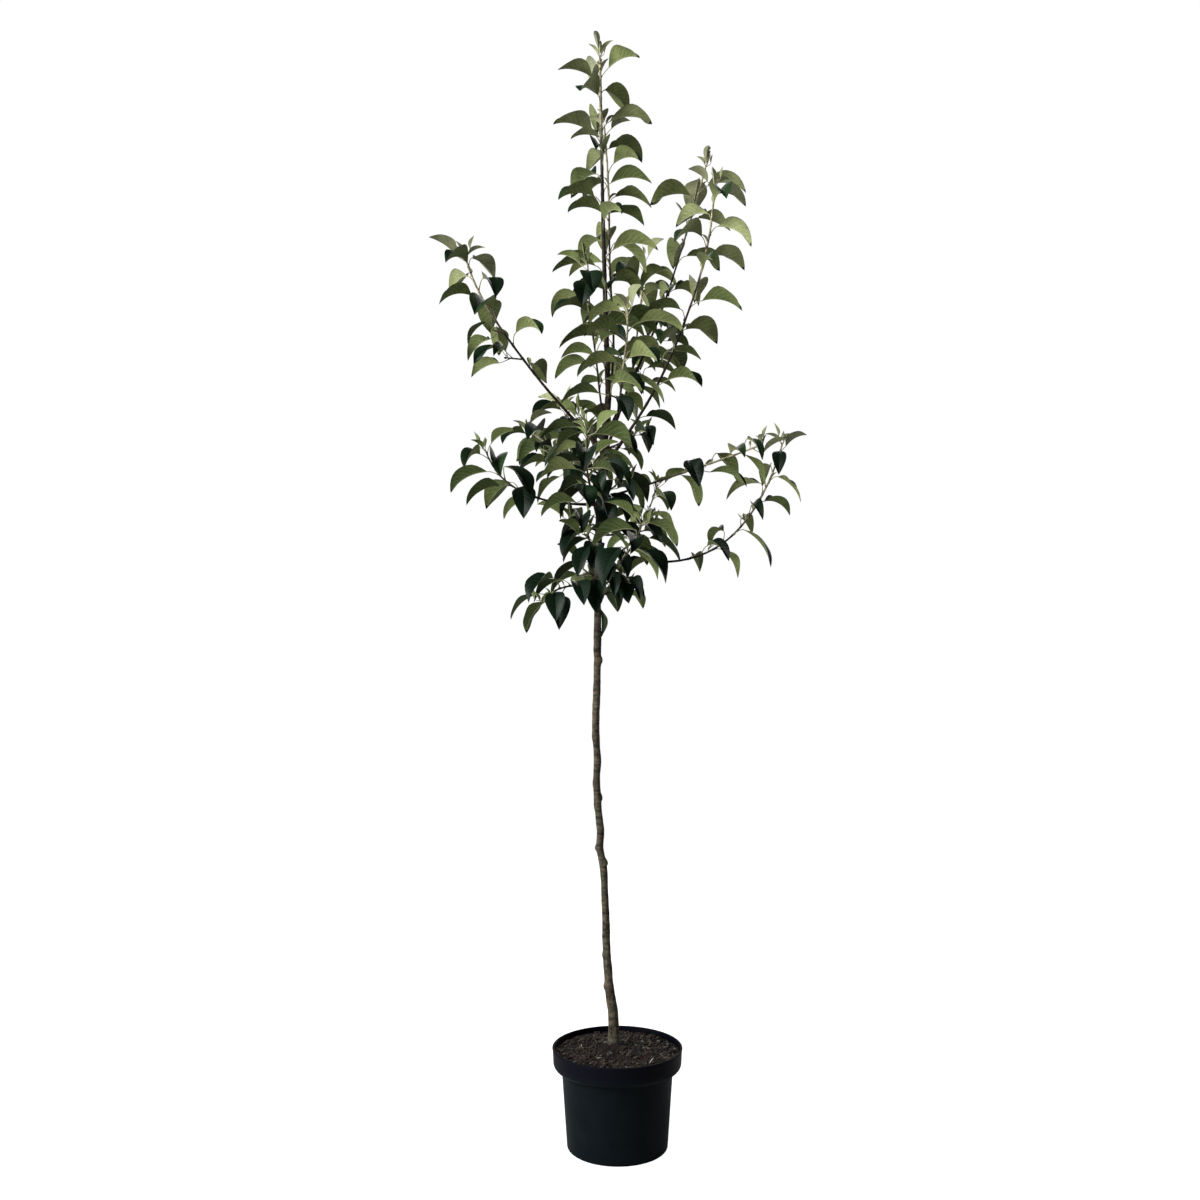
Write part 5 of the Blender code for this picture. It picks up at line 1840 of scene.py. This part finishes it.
def build_plant():
    """Bark, twigs, buds, leaves and stalks, each kind in one piece."""
    trunk = Heap("youth", "scar")
    trunk_skin(trunk)
    dress(trunk.made("trunk_bark", [bark_finish("bark", 0.82)]), "trunk", "trunk")
    wood, blades, stalks, buds = Heap("youth", "scar"), Heap("leaf_map"), Heap(), Heap()
    for limb in LIMBS:
        limb_skin(wood, limb)
    growth = grow_tree()
    rng = random.Random(LOOKS_SEED)
    for limb in LIMBS:
        leaves, twigs = growth[limb.name]
        for twig in twigs:
            twig_skin(wood, twig)
            way = unit(twig[1] - twig[0])
            bud_skin(buds, twig[1] - way * TIP_BUD_SUNK, way, rng.uniform(*TIP_BUD))
        for leaf in leaves:
            looks = leaf_looks(rng, leaf, limb)
            if leaf.from_tip < len(APEX_SIZES) and limb.height + limb.rise > FELT_TOP:
                leaf = leaf._replace(size=APEX_SIZES[leaf.from_tip] * leaf.size)
            leaf_skins(blades, stalks, leaf, looks)
            axil_bud(buds, leaf, limb, rng)
        young = random.Random(limb.seed + 2)
        for leaf in leaflets(limb, leaves):
            leaf_skins(blades, stalks, leaf, young_looks(young, limb))
    leaf_skins(blades, stalks, trunk_leaf(), TRUNK_LEAF_LOOKS)
    core = random.Random(CORE_SEED + 1)
    for leaf in core_leaves():
        leaf_skins(blades, stalks, leaf, leaf_looks(core, leaf, None))
    boughs = ["bough_" + limb.name for limb in LIMBS if limb.bare]
    masses = ["leaves_" + limb.name for limb in LIMBS]
    dress(wood.made("limbs_and_twigs", [bark_finish("limb_bark", 0.6)]), "boughs", *boughs)
    dress(blades.made("leaf_blades", LEAF_FINISHES, crease=38, uv="leaf_map"), "foliage", *masses)
    dress(stalks.made("leaf_stalks", STALK_FINISHES), "foliage")
    dress(buds.made("buds", [plain_finish(*BUD_FINISH)]), "boughs")


def build_pot_and_compost():
    """The pot, the compost in it, and the crumbs and straw on top."""
    pot, soil, crumbs, straws = Heap(), Heap(), Heap(), Heap()
    lathe(pot, pot_profile())
    dress(pot.made("pot_shell", [pot_finish()], crease=50), "pot", "pot")
    soil_skin(soil)
    dress(soil.made("compost_bed", [soil_finish()]), "compost", "compost")
    crumb_skins(crumbs)
    dress(crumbs.made("compost_crumbs", CRUMB_FINISHES, smooth=False), "compost")
    straw_skins(straws)
    dress(straws.made("straw_bits", [plain_finish(*STRAW_FINISH)]), "compost")


# The studio

FLOOR_RADIUS = 3.2
FLOOR_TOP = -0.0002
FLOOR_FOOT = -0.004
FLOOR_SIDES = 96
FLOOR_GREY = 0.4
FLOOR_GLOW = 0.95
# Light from all round as a share of white, and the lights from far away: the way to
# each, its power, and how wide it is in degrees
SKY = 0.09
LIGHTS = (
    ("key", (-0.95, -0.45, 0.8), 3.0, 32.0),
    ("fill", (-0.88, -0.62, 0.1), 2.0, 50.0),
    ("back", (0.1, 1.0, 0.4), 1.3, 45.0),
    ("side", (1.0, 0.95, 0.35), 0.95, 40.0),
)


def camera_ray(w):
    """One on what the camera sees itself, zero on what lights the plant."""
    return w.add("ShaderNodeLightPath").outputs["Is Camera Ray"]


def build_floor():
    """A round pale floor, a little brighter to the camera than to the plant, so that it
    runs into the white behind it."""
    floor = Heap()
    outline = [(0, FLOOR_FOOT), (FLOOR_RADIUS, FLOOR_FOOT), (FLOOR_RADIUS, FLOOR_TOP), (0, FLOOR_TOP)]
    lathe(floor, outline, FLOOR_SIDES)
    pale, w, shader = finish_of("pale_floor")
    matt = w.add("ShaderNodeBsdfDiffuse", {"Color": (FLOOR_GREY, FLOOR_GREY, FLOOR_GREY, 1.0)})
    glow = w.add("ShaderNodeEmission", {"Strength": w.times(camera_ray(w), FLOOR_GLOW)})
    both = w.add("ShaderNodeAddShader", {0: matt.outputs[0], 1: glow.outputs[0]})
    w.feed(pale.node_tree.nodes["Material Output"], {"Surface": both.outputs[0]})
    pale.node_tree.nodes.remove(shader)
    pale.cycles.emission_sampling = "NONE"
    floor.made("floor", [pale], smooth=False)


def far_light(name, direction, power, softness):
    """An even light from one side of the sky, as wide as its softness in degrees."""
    lamp = bpy.data.lights.new(name, "SUN")
    lamp.energy = power
    lamp.angle = math.radians(softness)
    made = bpy.data.objects.new(name, lamp)
    made.rotation_euler = Vector(direction).to_track_quat("Z", "Y").to_euler()
    bpy.context.scene.collection.objects.link(made)


def build_studio():
    """White behind the plant, little light from all round, four lights, and the camera."""
    scene = bpy.context.scene
    world = bpy.data.worlds.new("studio")
    scene.world = world
    world.use_nodes = True
    w = Wiring(world.node_tree)
    strength = w.span(camera_ray(w), 0.0, 1.0, low=SKY)
    backdrop = world.node_tree.nodes["Background"]
    w.feed(backdrop, {"Color": (1.0, 1.0, 1.0, 1.0), "Strength": strength})
    for row in LIGHTS:
        far_light(*row)
    scene.view_settings.view_transform = "Standard"
    lens = bpy.data.cameras.new("camera")
    lens.sensor_width = SENSOR
    lens.lens = SENSOR * FOCAL_PIXELS / PICTURE_SIDE
    lens.clip_start, lens.clip_end = 0.05, 100.0
    camera = bpy.data.objects.new("camera", lens)
    camera.location = CAMERA_PLACE
    camera.rotation_euler = (math.radians(CAMERA_TILT), 0.0, 0.0)
    scene.collection.objects.link(camera)
    scene.camera = camera


build_studio()
build_floor()
build_pot_and_compost()
build_plant()
